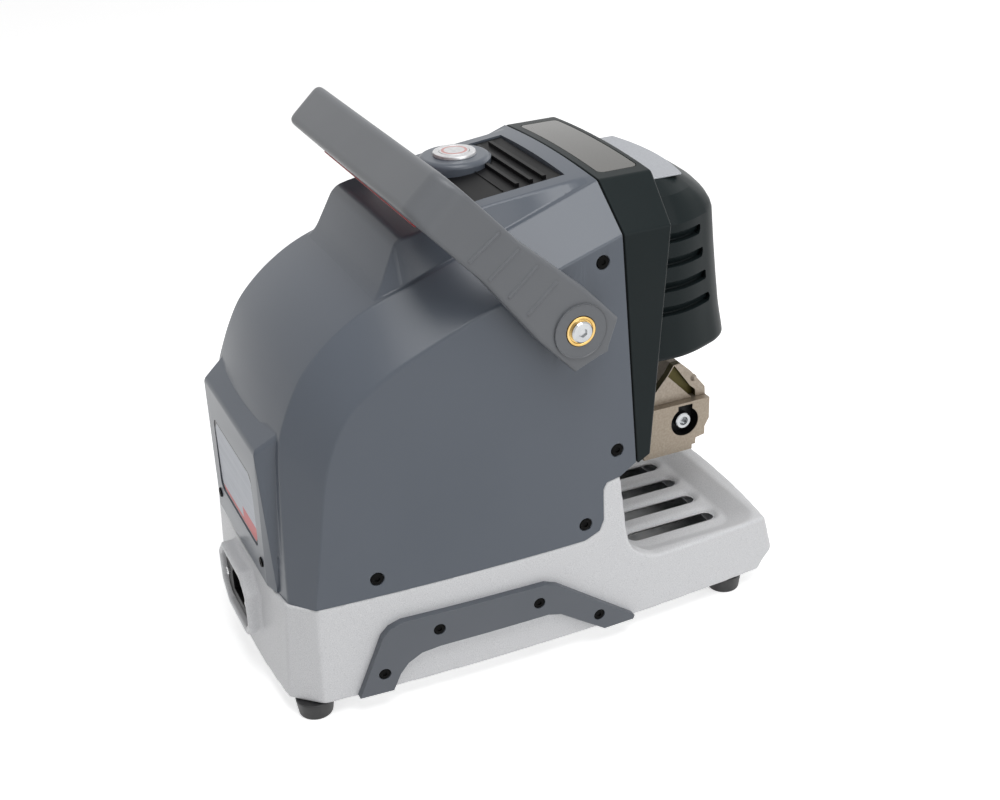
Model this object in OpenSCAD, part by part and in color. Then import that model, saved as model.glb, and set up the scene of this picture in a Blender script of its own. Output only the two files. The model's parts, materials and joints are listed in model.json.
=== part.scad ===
// Key duplicating machine: a table-top cutter with a lifting bail, a chip tray and a three-axis carriage.
// Millimetres. X is across, -Y is the front with the clamp, +Z is up; the feet stand on z = 0.

/* [Base] */
// Height of the rubber feet
foot_h = 10.5; // [8:0.5:14]
// Radius of a foot where it stands
foot_r = 9.5; // [8:0.5:11]
// How far the middle of a foot lies inside the base's side
foot_in = 18.2; // [17:0.2:22]
// Distance between the front and rear feet
feet_y = 266; // [250:1:268]
// Width of the base at its widest
base_w = 174.4; // [172:0.4:184]
// Radius of the slow curve of the long sides
side_bow_r = 1500; // [1300:50:2500]
// Rear wall of the base at its foot, from the origin
rear_y = 150.3; // [148:0.5:156]
// Front nose of the base, from the origin
front_y = 167.8; // [164:0.5:176]
// Height of the seam between the base and the casing
seam_z = 73.7; // [70:0.5:78]
// Wall of the base casting
base_wall = 4; // [3:0.25:5]
// Thickness of the bottom sheet
sheet_t = 1.5; // [1:0.25:2]

/* [Tray] */
// Height of the tray's rim
rim_z = 48; // [46:0.5:52]
// Depth of the tray below its rim
tray_depth = 8.5; // [6:0.5:10]
// Thickness of the tray's floor
tray_t = 3.5; // [2.5:0.25:5]
// Number of chip slots
slot_count = 5; // [3:2:5]
// Distance between neighbouring slots
slot_pitch = 23.2; // [20:0.2:25]
// Width of a slot
slot_w = 10; // [7:0.5:12]
// Length of a slot
slot_len = 60; // [45:1:62]

/* [Casing] */
// Wall of the plastic casing
shell_wall = 3; // [2.5:0.25:3.5]
// How far the fold above the casing's flat sides lies inside the base's side
fold_in = 2.9; // [2.2:0.1:5]
// Half width of the casing's top and back between the folds
ridge_x = 58; // [54:0.5:62]
// Radius where the casing turns from its top to its back
turn_r = 70; // [60:1:80]
// Height of the roof at the front seam
roof_z = 274.4; // [270:0.2:280]
// Height of the gasket between the casing and the front frame
gasket_t = 1.2; // [0.8:0.1:1.6]
// Depth of the front frame at its top
band_depth = 32; // [28:0.5:34]
// Wall of the front frame
band_wall = 3; // [2.5:0.25:4]

/* [Hood] */
// Half width of the hood at its lower rim
hood_half = 62; // [58:0.5:64]
// Front of the hood at its lower rim, from the origin
hood_front = 152; // [148:0.5:156]
// Height of the hood's lower rim
hood_low_z = 160; // [156:0.5:164]
// Height of the hood's top plate
hood_top_z = 262.5; // [258:0.5:266]
// Wall of the hood
hood_wall = 2.5; // [2:0.25:3.5]
// Thickness of the trim plate on the hood
plate_t = 1.2; // [0.8:0.1:2]

/* [Handle] */
// Height of the handle's pivot
pivot_z = 211.7; // [208:0.5:216]
// Distance of the pivot behind the origin plane, towards the front
pivot_y = 19.7; // [16:0.5:24]
// Reach of the bail from its pivot to its outer edge
bail_reach = 117; // [112:0.5:124]
// Depth of the bail's crossbar along its reach
bar_depth = 22; // [18:0.5:22]
// Width of an arm at its pivot
lug_w = 36; // [32:0.5:40]
// Width of an arm at the crossbar
arm_w = 27; // [22:0.5:30]
// Thickness of an arm
arm_t = 12; // [9:0.5:14]
// Angle of the bail above the horizontal, towards the rear
bail_angle = 47.3; // [40:0.1:60]
// Radius of the pivot bolt
bolt_r = 4; // [3.5:0.25:5]

/* [Fastenings] */
// Radius of the casing screws' heads
head_r = 3.8; // [3:0.1:4.2]
// Radius of the casing screws' shanks
shank_r = 2; // [1.5:0.1:2.2]
// Height of a screw head
head_h = 2.6; // [2:0.1:3]

/* [Carriages] */
// Radius of the round guide rods
rod_r = 5; // [4:0.25:6]
// Radius of the cross slide's guide rods
cross_rod_r = 4; // [3:0.25:4.5]
// Radius of the lead screws
screw_r = 4; // [3:0.25:4.5]
// Distance between the lengthwise rods
y_rod_gap = 76; // [70:1:84]
// Height of the lengthwise rods
y_rod_z = 84; // [82:0.5:88]
// Distance between the upright rods
z_rod_gap = 104; // [98:1:108]

/* [Spindle] */
// Distance of the cutter's axis in front of the origin
spindle_y = 118; // [116:0.5:120]
// Radius of the spindle housing
housing_r = 18; // [16:0.5:19]
// Radius of the spindle shaft
shaft_r = 5; // [4:0.25:6]
// Radius of the cutter
cutter_r = 1.5; // [1:0.1:3]
// Height of the cutter's tip at rest
tip_z = 147; // [146:0.5:150]

/* [Clamp] */
// Width of the clamp
clamp_w = 60; // [54:1:66]
// Length of the clamp from front to back
clamp_len = 44; // [40:1:48]
// Height of the clamp's underside
clamp_z = 76; // [74:0.5:78]
// Travel of the movable jaw
jaw_travel = 5; // [3:0.5:6]

/* [Hidden] */
$fn = 64;
// Running clearance of a shaft in its bore, and the gap between pieces that pass each other
run = 0.05;
gap = 0.3;

// ---- Heights and levels of the base
half_w = base_w / 2;
side_lean = 1.1;
side_lean_in = 2;
half_w_low = half_w - side_lean;
fold_x = half_w - fold_in;
base_z = foot_h;
tray_z = rim_z - tray_depth;
nose_z = base_z + 12.5;
tower_z = seam_z + 35.3;
deck_z = seam_z - 13.7;
deck_t = 6;
deck_top = deck_z + deck_t;
front_bow_r = 540;
rear_bow_r = 600;
corner_cut = 15;

// ---- Front seam plane, which leans back by seam_lean going up
seam_lean = 3.3;
seam_low = [-61.5, tower_z + 6];
function seam_y(z) = seam_low.x + (z - seam_low.y) * tan(seam_lean);
// Point [y, z] at height z, ahead of the seam plane by d
function on_seam(z, d) = [seam_y(z) - d, z];
crown = 2.2;
fold_z = roof_z - 22.6;
frame_low_z = seam_low.y - 1;

// ---- Casing profiles in the side view, as [y, z]
function arc(c, r, a0, a1, n = 14) = [for (i = [0:n])
    c + r * [cos(a0 + (a1 - a0) * i / n), sin(a0 + (a1 - a0) * i / n)]];
back_draft = 9.8;
fold_slope = 22.5;
ridge_slope = 19;
back_foot_fold = [129.7, seam_z];
back_foot_ridge = [rear_y - 5, seam_z];
// Centre of a circle of radius r that touches the sloping top line and the drafted back line
function turn_centre(top, slope, foot, r) =
    let (n1 = [sin(slope), cos(slope)], n2 = [cos(back_draft), sin(back_draft)],
         d1 = top * n1 - r, d2 = foot * n2 - r, det = n1.x * n2.y - n1.y * n2.x)
    [(d1 * n2.y - d2 * n1.y) / det, (n1.x * d2 - n2.x * d1) / det];
fold_top = [seam_y(fold_z), fold_z];
ridge_top = [seam_y(roof_z), roof_z];
fold_c = turn_centre(fold_top, fold_slope, back_foot_fold, turn_r);
ridge_c = turn_centre(ridge_top, ridge_slope, back_foot_ridge, turn_r);
function casing_profile(top, slope, foot, c, inset, ahead) = concat(
    [[seam_y(foot.y) - ahead, foot.y], [top.x - ahead, top.y + ahead * tan(slope) - inset / cos(slope)]],
    arc(c, turn_r - inset, 90 - slope, back_draft), [[foot.x - inset / cos(back_draft), foot.y]]);

// ---- Raised deck of the roof and the hump behind it
deck_half = 50;
hump_half_low = 56.8;
roof_pitch = 5.8;
hump_top = [58.7, 259];
hump_foot = [73, 230.7];
vent_front_y = -42;
vent_len = 53;
vent_half = 41;
function roof_at(y) = roof_z + crown - (y - seam_y(roof_z)) * tan(roof_pitch);
grille_t = 4;
vent_slats = 4;
slat_pitch = 8.3;
button_at = [20, -4];
boss_r = 20.5;
boss_top = roof_at(button_at.y) + 3.4;
cap_r = 12.2;
button_r = 11;
actuator_r = 8.5;

// ---- Handle
boss_reach = 1.2;
arm_in = half_w + boss_reach + gap;
arm_out = arm_in + arm_t;
bush_r = 6;
flange_r = 8.3;
pivot = [-pivot_y, pivot_z];
lug_back = 22;

// ---- Interior
column_y = [-49, -41];
column_half = half_w - 12.2;
column_top = 236;
window_half = 36;
window_z = [95.5, 117];
z_rod_y = -60;
z_screw_x = 30;
z_lug_z = 130;
motor_w = 34;
motor_h = 26;
small_motor_w = 27;
bracket_t = 6;
y_bracket_y = 57;
y_bracket_t = 8;
x_rod_z = 104;
x_rod_y = [-8, 22];
x_screw_y = 7;
x_cheek = [44, 50];
arm_z = [97, 107];
arm_half = 18;
clamp_back = -100;
clamp_front = clamp_back - clamp_len;
clamp_step = 5;
clamp_top = clamp_z + 35;
nose_x = [-51, 36];
nose_z0 = 175;
nose_z1 = 213;
motor_at = [-34, -108];
spindle_motor_r = 15;
pulley_z = 231;
pulley_h = 8;
spindle_pulley_r = 14;
motor_pulley_r = 8;
belt_t = 1.2;
probe_x = 28;
inlet_z = 47;
inlet_y = rear_y + 5.7;
inlet_hole = [50, 34];
fan_at = [-18, -14];
fan_w = 40;
fan_t = 10;

// ---- Outline, tray and rails
sheet_top = foot_h + sheet_t;
post_r = 5;
post_bore = 12.5;
deck_hole_r = 6;
rail_sink = 1.6;
shell_sink = 1.5;
// Side view of the base: tray, rounded foot of the tower, tower and seam step
base_side = [[-200, base_z], [200, base_z], [200, seam_z], [-28, seam_z], [-37.5, seam_z + 3.8],
    [-40.2, seam_z + 10], [-40.2, tower_z - 5.5], [-42.5, tower_z - 1.5], [-51.5, tower_z], [-55.5,
        rim_z + 24],
    [-57.2, rim_z + 16], [-60, rim_z + 9.5], [-66, rim_z + 4], [-76, rim_z], [-200, rim_z]];
tower_front = -56;
foot_at = [half_w - foot_in, feet_y / 2];
tray_rear_y = tower_front - 10;
tray_front_y = -154;
slot_front_y = -133;
rail_points = [[112, 12], [96.5, 49], [92, 53.5], [85, 56], [-1, 54.8], [-9, 51.5], [-59, 14], [-58, 11.6],
    [-38.5, 11.6], [-10, 31.5], [-2, 33.8], [64, 33.8], [75, 32.5], [83, 28], [88, 22], [92.5, 12]];
rail_screws_at = [[97, 24.5], [64, 45], [3.5, 43.6], [-35, 22.7]];
rail_out = 4.5;
shell_screws_at = [[-42, 239], [-49.5, 126], [-28.7, 84], [95.4, 84.5]];
deck_holes_at = [[-40, 15], [40, 15]];
post_in = 13.2;
plate_screws_at = [[post_in - half_w, 0], [half_w - post_in, 0]];

// ---- Label, frame and hood
label_face_y = 146.6;
label_screw_x = 42;
label_screw_z = 87;
hood_shoulder = 78;
nose_r = 60;
// Block on the back that carries the label
label_half = 48;
vent_at = [0, vent_front_y + vent_len / 2];
label_w = 76;
label_h = 46;
label_z = 116;
label_y = label_face_y - 1.4;
frame_lean = 5.3;
panel_half = 50;
panel_t = 1;
panel_y = [frame_y(roof_z) + 3, seam_y(roof_z) - gasket_t - 4];
hood_window = [56, 252];
groove_z = [for (i = [0:3]) 190 + i * 14.4];
groove_h = 5.4;

// ---- Vent, button and inlet
inlet_screw_x = 20;
socket_flange_t = 2.5;
louvre_t = 1.6;
bezel_h = 2.2;
spring_r = 5;
spring_lap = 0.06;
spring_turns = 6;
actuator_low = boss_top - 6;
spring_low = actuator_low - 9;
inlet_floor = inlet_y - 5.5;
inlet_wall = 3;
socket_w = 27;
socket_h = 20;

// ---- Column and handle
flange_t = 0.6;
bolt_head_r = 5.8;
bolt_head_h = 2.2;
ear_x = [half_w - 13.2, half_w - 7.2];
ear_z = [186, 226];
bar_in = bail_reach - bar_depth;
bar_ease = 2;
bail_side = [[-13.5, lug_w / 2], [-lug_back, 1.3], [-15, -lug_w / 2], [14, -lug_w / 2], [62, -arm_w / 2],
    [bail_reach - bar_ease, -arm_w / 2], [bail_reach + 1, bar_ease + 1 - arm_w / 2],
    [bail_reach + 1, arm_w / 2 - bar_ease - 1], [bail_reach - bar_ease, arm_w / 2], [62, arm_w / 2],
    [14, lug_w / 2]];
grip_at = [31, 46, 61, 76];
disc_r = 15;
disc_t = 0.8;
inlay_half = arm_in - 20.7;
inlay_t = 2.5;
bush_out = arm_out + disc_t + 0.1;

// ---- Slides and spindle
carriage_y = [-20, 34];
carriage_z = [74, 94];
cheek_top = 111;
spindle_at = [0, -spindle_y];
carriage_low = 152;
carriage_high = 226;
housing_z = [165, 222];
bearing_r = 11;
bearing_h = 7;
cutter_shank_r = 3;
collet_r = 9;
guard_r = 21;

// ---- Clamp and fan
screw_well_r = 9.8;
supply_h = 38;
board_z = 6;
clamp_half = clamp_w / 2;
clamp_screw_at = [-126.7, 98];
jaw_side = [[-134, clamp_top + gap], [-141, clamp_top + 8.5], [-126, clamp_top + 25], [-121,
    clamp_top + 22.4],
    [-108, clamp_top + 8], [-106, clamp_top + gap]];
lug_x = [-14, -6];
lug_y = [-131, -122];
thread_r = 3;
fan_bore = 18.5;

// Brings the middle of the overall length to the origin
mid_y = (front_y - inlet_y) / 2;

// ---------------------------------------------------------------- helpers

// Puts its children, drawn from the middle of the feet, in the part's frame
module placed() {
    translate([0, mid_y, 0]) children();
}

// Extrudes a side-view outline of [y, z] points across the machine
module across(points, half) {
    rotate([90, 0, 90]) linear_extrude(2 * half, center = true) polygon(points);
}

// Repeats its children on the other side of the machine
module both() {
    children();
    mirror([1, 0, 0]) children();
}

// A box between two corners
module block(a, b) {
    translate(a) cube(b - a);
}

// A cylinder along X from x0 to x1 at [y, z]
module rod_x(x0, x1, at, r) {
    translate([x0, at.x, at.y]) rotate([0, 90, 0]) cylinder(h = x1 - x0, r = r);
}

// A cylinder along Y from y0 to y1 at [x, z]
module rod_y(y0, y1, at, r) {
    translate([at.x, y0, at.y]) rotate([-90, 0, 0]) cylinder(h = y1 - y0, r = r);
}

// A cylinder along Z from z0 to z1 at [x, y]
module rod_z(z0, z1, at, r) {
    translate([at.x, at.y, z0]) cylinder(h = z1 - z0, r = r);
}

// A socket-head screw whose head seats at the origin and whose shank points down -Z
module screw(r, h, shank, len, socket = 1.6) {
    difference() {
        cylinder(h = h, r = r);
        translate([0, 0, h * 0.35]) cylinder(h = h, r = socket, $fn = 6);
    }
    translate([0, 0, -len]) cylinder(h = len, r = shank);
}

// Points its children, drawn along Z, out of the right-hand side at [y, z]
module out_x(x, at) {
    translate([x, at.x, at.y]) rotate([0, 90, 0]) children();
}

// ---------------------------------------------------------------- base

// Outline of the base seen from above, with cut rear corners and eased front ones
function plan_points(w) = [[-w, -front_y + 26], [-w + 5, -front_y + 13], [-w + 13, -front_y + 4],
    [-w + 26, -front_y - 10], [w - 26, -front_y - 10], [w - 13, -front_y + 4], [w - 5, -front_y + 13],
    [w, -front_y + 26], [w, rear_y - corner_cut - 12], [w - 54, rear_y + 29], [-w + 54, rear_y + 29],
    [-w, rear_y - corner_cut - 12]];

// Turned solid about a far upright axis, from a profile of [radius, height] points
module turned(at, profile, sides) {
    translate(at) rotate_extrude($fn = sides)
        polygon(concat([[0, profile[0].y]], profile, [[0, profile[len(profile) - 1].y]]));
}

// Keeps what lies inside one long side's slow curve; the wall leans out below the seam and in above it
module side_limit(inset) {
    r = side_bow_r - inset;
    turned([side_bow_r - half_w_low, 0], [[r, base_z - 5], [r, base_z], [r + side_lean, seam_z],
        [r - side_lean_in, fold_z + 30]], 360);
}

// Keeps what lies behind the bowed front nose
module front_limit(inset) {
    r = front_bow_r - inset;
    turned([0, front_bow_r - front_y], [[r - 10.8, base_z - 5], [r - 10.8, base_z], [r, nose_z],
        [r - 6.8, rim_z],
        [r - 6.8, tower_z + 20]], 240);
}

// Keeps what lies in front of the bowed rear wall
module rear_limit(inset) {
    r = rear_bow_r - inset;
    turned([0, rear_y - rear_bow_r], [[r, base_z - 5], [r, base_z], [r - 3.2, seam_z], [r - 4.8,
        tower_z + 20]], 240);
}

// Solid form of the base, drawn in by inset, from z0 to z1
module base_form(inset, z0, z1) {
    intersection() {
        translate([0, 0, z0]) linear_extrude(z1 - z0) polygon(plan_points(half_w + 0.6 - inset));
        side_limit(inset);
        mirror([1, 0, 0]) side_limit(inset);
        front_limit(inset);
        rear_limit(inset);
    }
}

module at_feet() {
    for (sx = [-1, 1]) for (sy = [-1, 1]) translate([sx * foot_at.x, sy * foot_at.y, 0]) children();
}

module tray_recess() {
    hull() for (sx = [-1, 1]) {
        for (y = [tray_rear_y - 12, tray_front_y + 16])
            translate([sx * (half_w - 24), y, rim_z]) cylinder(h = 60, r = 15, $fn = 32);
        for (y = [tray_rear_y - 20, tray_front_y + 22])
            translate([sx * (half_w - 34), y, tray_z]) cylinder(h = 1, r = 10, $fn = 32);
    }
}
module slot_cut() {
    for (y = [0, slot_len - slot_w]) translate([0, y, 0]) cylinder(h = 40, r = slot_w / 2);
    translate([-slot_w / 2, 0, 0]) cube([slot_w, slot_len - slot_w, 40]);
}

// Half width of the outer wall at a place [y, z] on the long sides
function wall_x(at, out = 0) = half_w_low + (at.y < seam_z
    ? side_lean * (at.y - base_z) / (seam_z - base_z)
    : side_lean - (side_lean + side_lean_in) * (at.y - seam_z) / (fold_z - seam_z + 30))
    + out - at.x * at.x / (2 * side_bow_r);

// Threaded post under the casting from the bottom sheet up to z
module foot_post(at, z) {
    difference() {
        rod_z(sheet_top, z, at, post_r);
        rod_z(foot_h, sheet_top + post_bore, at, shank_r + run);
    }
}

module base_casting() {
    color("lightgray") difference() {
        intersection() {
            across(base_side, 100);
            base_form(0, base_z, tower_z + 1);
        }
        base_form(base_wall, base_z - 1, base_z + sheet_t);
        intersection() {
            base_form(base_wall, base_z - 1, deck_z);
            block([-100, tower_front + base_wall, 0], [100, 200, deck_z]);
        }
        intersection() {
            base_form(base_wall, base_z - 1, tray_z - tray_t);
            block([-100, -200, 0], [100, tower_front, tray_z - tray_t]);
        }
        intersection() {
            base_form(base_wall, deck_top, tower_z + 2);
            block([-100, tower_front - 1, deck_top], [100, 200, 200]);
        }
        tray_recess();
        for (i = [0:slot_count - 1])
            translate([(i - (slot_count - 1) / 2) * slot_pitch, slot_front_y,
                tray_z - tray_t - 1]) slot_cut();
        inlet_cut();
        for (at = rail_screws_at) both() rod_x(wall_x(at) - 8, wall_x(at) + 1, at, shank_r + run);
        for (at = deck_holes_at) rod_z(deck_z - 1, deck_top + 1, at, deck_hole_r);
    }
    color("lightgray") {
        for (sx = [-1, 1]) {
            foot_post([sx * foot_at.x, -foot_at.y], tray_z - tray_t);
            foot_post([sx * foot_at.x, foot_at.y], deck_z);
        }
        for (at = plate_screws_at) foot_post(at, deck_z);
        inlet_rim();
    }
}

module bottom_plate() {
    color("dimgray") difference() {
        base_form(base_wall + gap, foot_h, foot_h + sheet_t);
        at_feet() translate([0, 0, foot_h - 1]) cylinder(h = 5, r = shank_r + run);
        for (at = plate_screws_at) rod_z(foot_h - 1, foot_h + 5, at, shank_r + run);
    }
}

module plate_screws() {
    color("black") for (at = plate_screws_at)
        translate([at.x, at.y, foot_h]) mirror([0, 0, 1]) screw(head_r, head_h, shank_r, 8);
}

module feet() {
    color([0.08, 0.08, 0.08]) at_feet() difference() {
        cylinder(h = foot_h, r1 = foot_r, r2 = foot_r + 1.5);
        translate([0, 0, -1]) cylinder(h = 5, r = head_r + gap);
        translate([0, 0, -1]) cylinder(h = foot_h + 2, r = shank_r + run);
    }
}

module foot_screws() {
    color("silver") at_feet() translate([0, 0, 4]) mirror([0, 0, 1]) screw(head_r, head_h, shank_r, 15);
}

// Arched carrying rail of one side, seated on the slow curve of the base wall
module rail() {
    difference() {
        intersection() {
            translate([-half_w - 12.8, 0, 0]) across(rail_points, 30);
            translate([-rail_out, 0, 0]) side_limit(0);
        }
        intersection() {
            base_form(0, base_z - 1, seam_z);
            block([-100, -200, 0], [0, 200, 200]);
        }
        for (at = rail_screws_at) mirror([1, 0, 0]) {
            rod_x(wall_x(at) - 2, wall_x(at) + 20, at, shank_r + run);
            rod_x(wall_x(at, rail_out) - rail_sink, wall_x(at) + 20, at, head_r - 0.3);
        }
    }
}
module side_rail_left() { color("slategray") rail(); }
module side_rail_right() { color("slategray") mirror([1, 0, 0]) rail(); }
module rail_screws() {
    color("black") for (at = rail_screws_at) both()
        out_x(wall_x(at, rail_out) - rail_sink, at) screw(head_r - 0.5, 1.2, shank_r, 9, 1.3);
}

// ---------------------------------------------------------------- casing

// Solid form of the casing without its raised deck, drawn in by inset and run ahead of the seam
module casing_form(inset, ahead = 0) {
    intersection() {
        hull() {
            across(casing_profile(fold_top, fold_slope, back_foot_fold, fold_c, inset, ahead),
                fold_x - inset);
            across(casing_profile(ridge_top, ridge_slope, back_foot_ridge, ridge_c, inset, ahead),
                ridge_x - inset * 0.4);
            block([inset - half_w, seam_y(seam_z + 1) - ahead, seam_z], [half_w - inset, 118, seam_z + 1]);
            block([inset - ridge_x - 6, 100, seam_z], [ridge_x + 6 - inset, back_foot_ridge.x - inset,
                seam_z + 1]);
        }
        side_limit(inset);
        mirror([1, 0, 0]) side_limit(inset);
    }
}

// Raised deck that carries the vent and the button and ends in the hump
module deck_form(inset, ahead = 0) {
    front = [seam_y(roof_z) - ahead, roof_z + crown - inset];
    hull() {
        across([front, [10, roof_at(10) - inset], hump_top - [inset, inset], hump_top - [inset, inset + 1],
            front - [0, 1]], deck_half - inset);
        across([front - [0, crown + 6], hump_foot - [inset, inset], hump_foot - [inset + 8, inset + 8],
            front - [0, 22]], hump_half_low - inset);
    }
}

module label_block(inset) {
    hull() {
        across([[100, 82], [label_face_y - inset, 82], [label_face_y - 0.8 - inset, 155.5 - inset],
            [131 - inset, 168 - inset], [100, 168 - inset]], label_half - inset);
        across([[100, 78], [label_face_y - 3.6 - inset, 78], [133 - inset, 150 - inset],
            [127 - inset, 168 - inset], [100, 168 - inset]], label_half + 7 - inset);
    }
}

// Notch in the casing's foot that takes the base's tower
module tower_notch() {
    across([[-120, 0], [-28, 0], [-28, seam_z], [-37.5, seam_z + 3.8], [-40.2, seam_z + 10],
        [-40.2, tower_z - 5.5], [-42.5, tower_z - 1.5], [-51.5, tower_z], seam_low + [-5, 3],
        [-120, seam_low.y + 3]], 110);
}
// All that lies ahead of the seam plane
module ahead_of_seam() {
    across([on_seam(50, 0), on_seam(320, 0), on_seam(320, 40), on_seam(50, 40)], 110);
}

module on_roof(at) {
    translate([at.x, at.y, roof_at(at.y)]) rotate([-roof_pitch, 0, 0]) children();
}

module main_shell() {
    color("slategray") difference() {
        union() {
            casing_form(0, 2);
            deck_form(0, 2);
            label_block(0);
            rod_z(roof_z - 12, boss_top, button_at, boss_r);
            both() rod_x(wall_x(pivot) - 6, half_w + boss_reach, pivot, disc_r);
        }
        casing_form(shell_wall, 10);
        deck_form(shell_wall, 10);
        label_block(shell_wall);
        tower_notch();
        ahead_of_seam();
        difference() {
            on_roof(vent_at) translate([-vent_half, -vent_len / 2, -12]) cube([vent_half * 2, vent_len,
                30]);
            rod_z(200, 300, button_at, boss_r);
        }
        rod_z(200, 300, button_at, button_r + run);
        both() rod_x(fold_x - 24, half_w + 5, pivot, bolt_r + run);
        for (at = shell_screws_at) both() {
            rod_x(wall_x(at) - 12, half_w + 5, at, shank_r + run);
            rod_x(wall_x(at) - shell_sink, half_w + 5, at, head_r + 0.4);
        }
        for (x = [-1, 1] * label_screw_x) rod_y(140, 150, [x, label_screw_z], shank_r + run);
        translate([-label_w / 2, label_y, label_z - label_h / 2]) cube([label_w, 10, label_h]);
    }
}

module shell_screws() {
    color("black") for (at = shell_screws_at) both()
        out_x(wall_x(at) - shell_sink, at) screw(head_r, 1.4, shank_r, 8, 1.5);
}

// Slice along the seam plane, from back behind it to front ahead of it, drawn in by inset
module seam_ring(inset, back, front) {
    low = seam_low.y;
    hull() {
        across([on_seam(fold_z, front), on_seam(fold_z, back), on_seam(low, back), on_seam(low, front)],
            fold_x + 0.2 - inset);
        across([on_seam(roof_z - inset, front), on_seam(roof_z - inset, back), on_seam(fold_z, back),
            on_seam(fold_z, front)], ridge_x - inset * 0.4);
        across([on_seam(roof_z + crown - inset, front), on_seam(roof_z + crown - inset, back),
            on_seam(fold_z, back), on_seam(fold_z, front)], deck_half - 12 - inset);
        across([on_seam(low + 1, front), on_seam(low + 1, back), on_seam(low, back), on_seam(low, front)],
            wall_x([seam_low.x, seam_low.y]) - inset);
    }
}

module shell_gasket() {
    color([0.03, 0.03, 0.03]) difference() {
        seam_ring(0.8, 0, gasket_t);
        seam_ring(shell_wall, -2, gasket_t + 2);
        block([-70, -100, 100], [70, 0, seam_low.y + 3]);
    }
}

function frame_y(z) = seam_y(roof_z) - gasket_t - band_depth + (roof_z - z) * tan(frame_lean);
// Solid form of the front frame, drawn in by inset and run back by back
module frame_form(inset, back = 0) {
    rear = gasket_t - back;
    side = [frame_y(118) + inset, 118];
    hull() {
        across([on_seam(fold_z - inset * 0.4, rear), [frame_y(fold_z) + inset, fold_z - inset * 0.4], side,
            on_seam(frame_low_z, gasket_t), on_seam(frame_low_z, rear)], fold_x + 0.2 - inset);
        across([on_seam(roof_z - inset, rear), [frame_y(roof_z) + inset, roof_z - inset],
            [frame_y(200) + inset, 200], [-60 + back, 200]], ridge_x - inset * 0.4);
        across([on_seam(roof_z + crown - inset, rear), [frame_y(roof_z) + inset, roof_z + crown - inset],
            [frame_y(200) + inset, 200], [-60 + back, 200]], deck_half - 12 - inset);
        across([side, on_seam(frame_low_z, gasket_t + 0.5), on_seam(frame_low_z, rear)],
            wall_x([seam_low.x, seam_low.y]) - inset);
    }
}

// Room of the smoked panel, drawn in by inset
module panel_block(inset) {
    block([inset - panel_half, panel_y[0] + inset, roof_z + crown - panel_t],
        [panel_half - inset, panel_y[1] - inset, roof_z + 10]);
}
module front_frame() {
    color([0.12, 0.14, 0.14]) difference() {
        frame_form(0);
        frame_form(band_wall, 10);
        block([-hood_window.x, -120, 100], [hood_window.x, -60, hood_window.y]);
        panel_block(0);
    }
}

module smoked_panel() {
    color([0.35, 0.33, 0.3]) intersection() {
        panel_block(gap);
        frame_form(0);
    }
}

// ---------------------------------------------------------------- hood

// Solid form of the hood, drawn in by inset and run down by below: rim, shoulder and top
module hood_form(inset, below = 0) {
    shoulder_z = hood_low_z + hood_shoulder;
    top_z = hood_top_z - plate_t - inset;
    hull() {
        for (s = [-1, 1]) {
            translate([s * 33.5, 25 - hood_front, hood_low_z - below]) cylinder(h = 1, r = 18 - inset,
                $fn = 32);
            translate([s * 33.5, 35 - hood_front, shoulder_z]) cylinder(h = 1, r = 18 - inset, $fn = 32);
        }
        translate([0, 60 - hood_front, hood_low_z - below]) cylinder(h = 1, r = nose_r - inset, $fn = 48);
        translate([0, 70 - hood_front, shoulder_z]) cylinder(h = 1, r = nose_r - inset, $fn = 48);
        translate([0, 92 - hood_front, top_z - 1]) cylinder(h = 1, r = nose_r - inset, $fn = 48);
        block([inset - hood_half, 46 - hood_front, hood_low_z - below], [hood_half - inset, -60,
            hood_low_z + 1]);
        block([inset - hood_half + 3, 56 - hood_front, shoulder_z], [hood_half - 3 - inset, -60,
            shoulder_z + 1]);
        block([inset - 44, 42 - hood_front, top_z - 1], [44 - inset, -60, top_z]);
    }
}
module behind_hood() {
    across([[frame_y(300), 300], [frame_y(100), 100], [0, 100], [0, 300]], 110);
}
function groove_x(z) = hood_half - 1.2 - 3 * (z - hood_low_z) / 79;

module head_hood() {
    color([0.13, 0.15, 0.15]) difference() {
        hood_form(0);
        hood_form(hood_wall, 5);
        behind_hood();
        for (z = groove_z) both()
            block([groove_x(z), -117, z - groove_h / 2], [hood_half + 5, -70, z + groove_h / 2]);
    }
}

module hood_plate() {
    color("gainsboro") intersection() {
        translate([0, 92 - hood_front, hood_top_z - plate_t]) cylinder(h = plate_t, r = nose_r);
        block([-40, -130, hood_top_z - plate_t], [40, frame_y(hood_top_z), hood_top_z]);
    }
}

// ---------------------------------------------------------------- roof, button, label and inlet

module roof_grille() {
    color([0.08, 0.08, 0.08]) difference() {
        on_roof(vent_at) difference() {
            union() {
                translate([gap - vent_half, gap - vent_len / 2, -grille_t])
                    cube([2 * (vent_half - gap), vent_len - 2 * gap, grille_t - 1.2]);
                for (i = [0:vent_slats - 1]) translate([gap - vent_half,
                    gap - vent_len / 2 + i * slat_pitch, -1.3])
                    cube([2 * (vent_half - gap), slat_pitch - louvre_t - 1, louvre_t]);
            }
            for (i = [1:vent_slats]) translate([-vent_half + 6, i * slat_pitch - vent_len / 2 - 1.8, -10])
                cube([2 * vent_half - 12, louvre_t, 20]);
        }
        rod_z(200, 300, button_at, boss_r + gap);
    }
}

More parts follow.
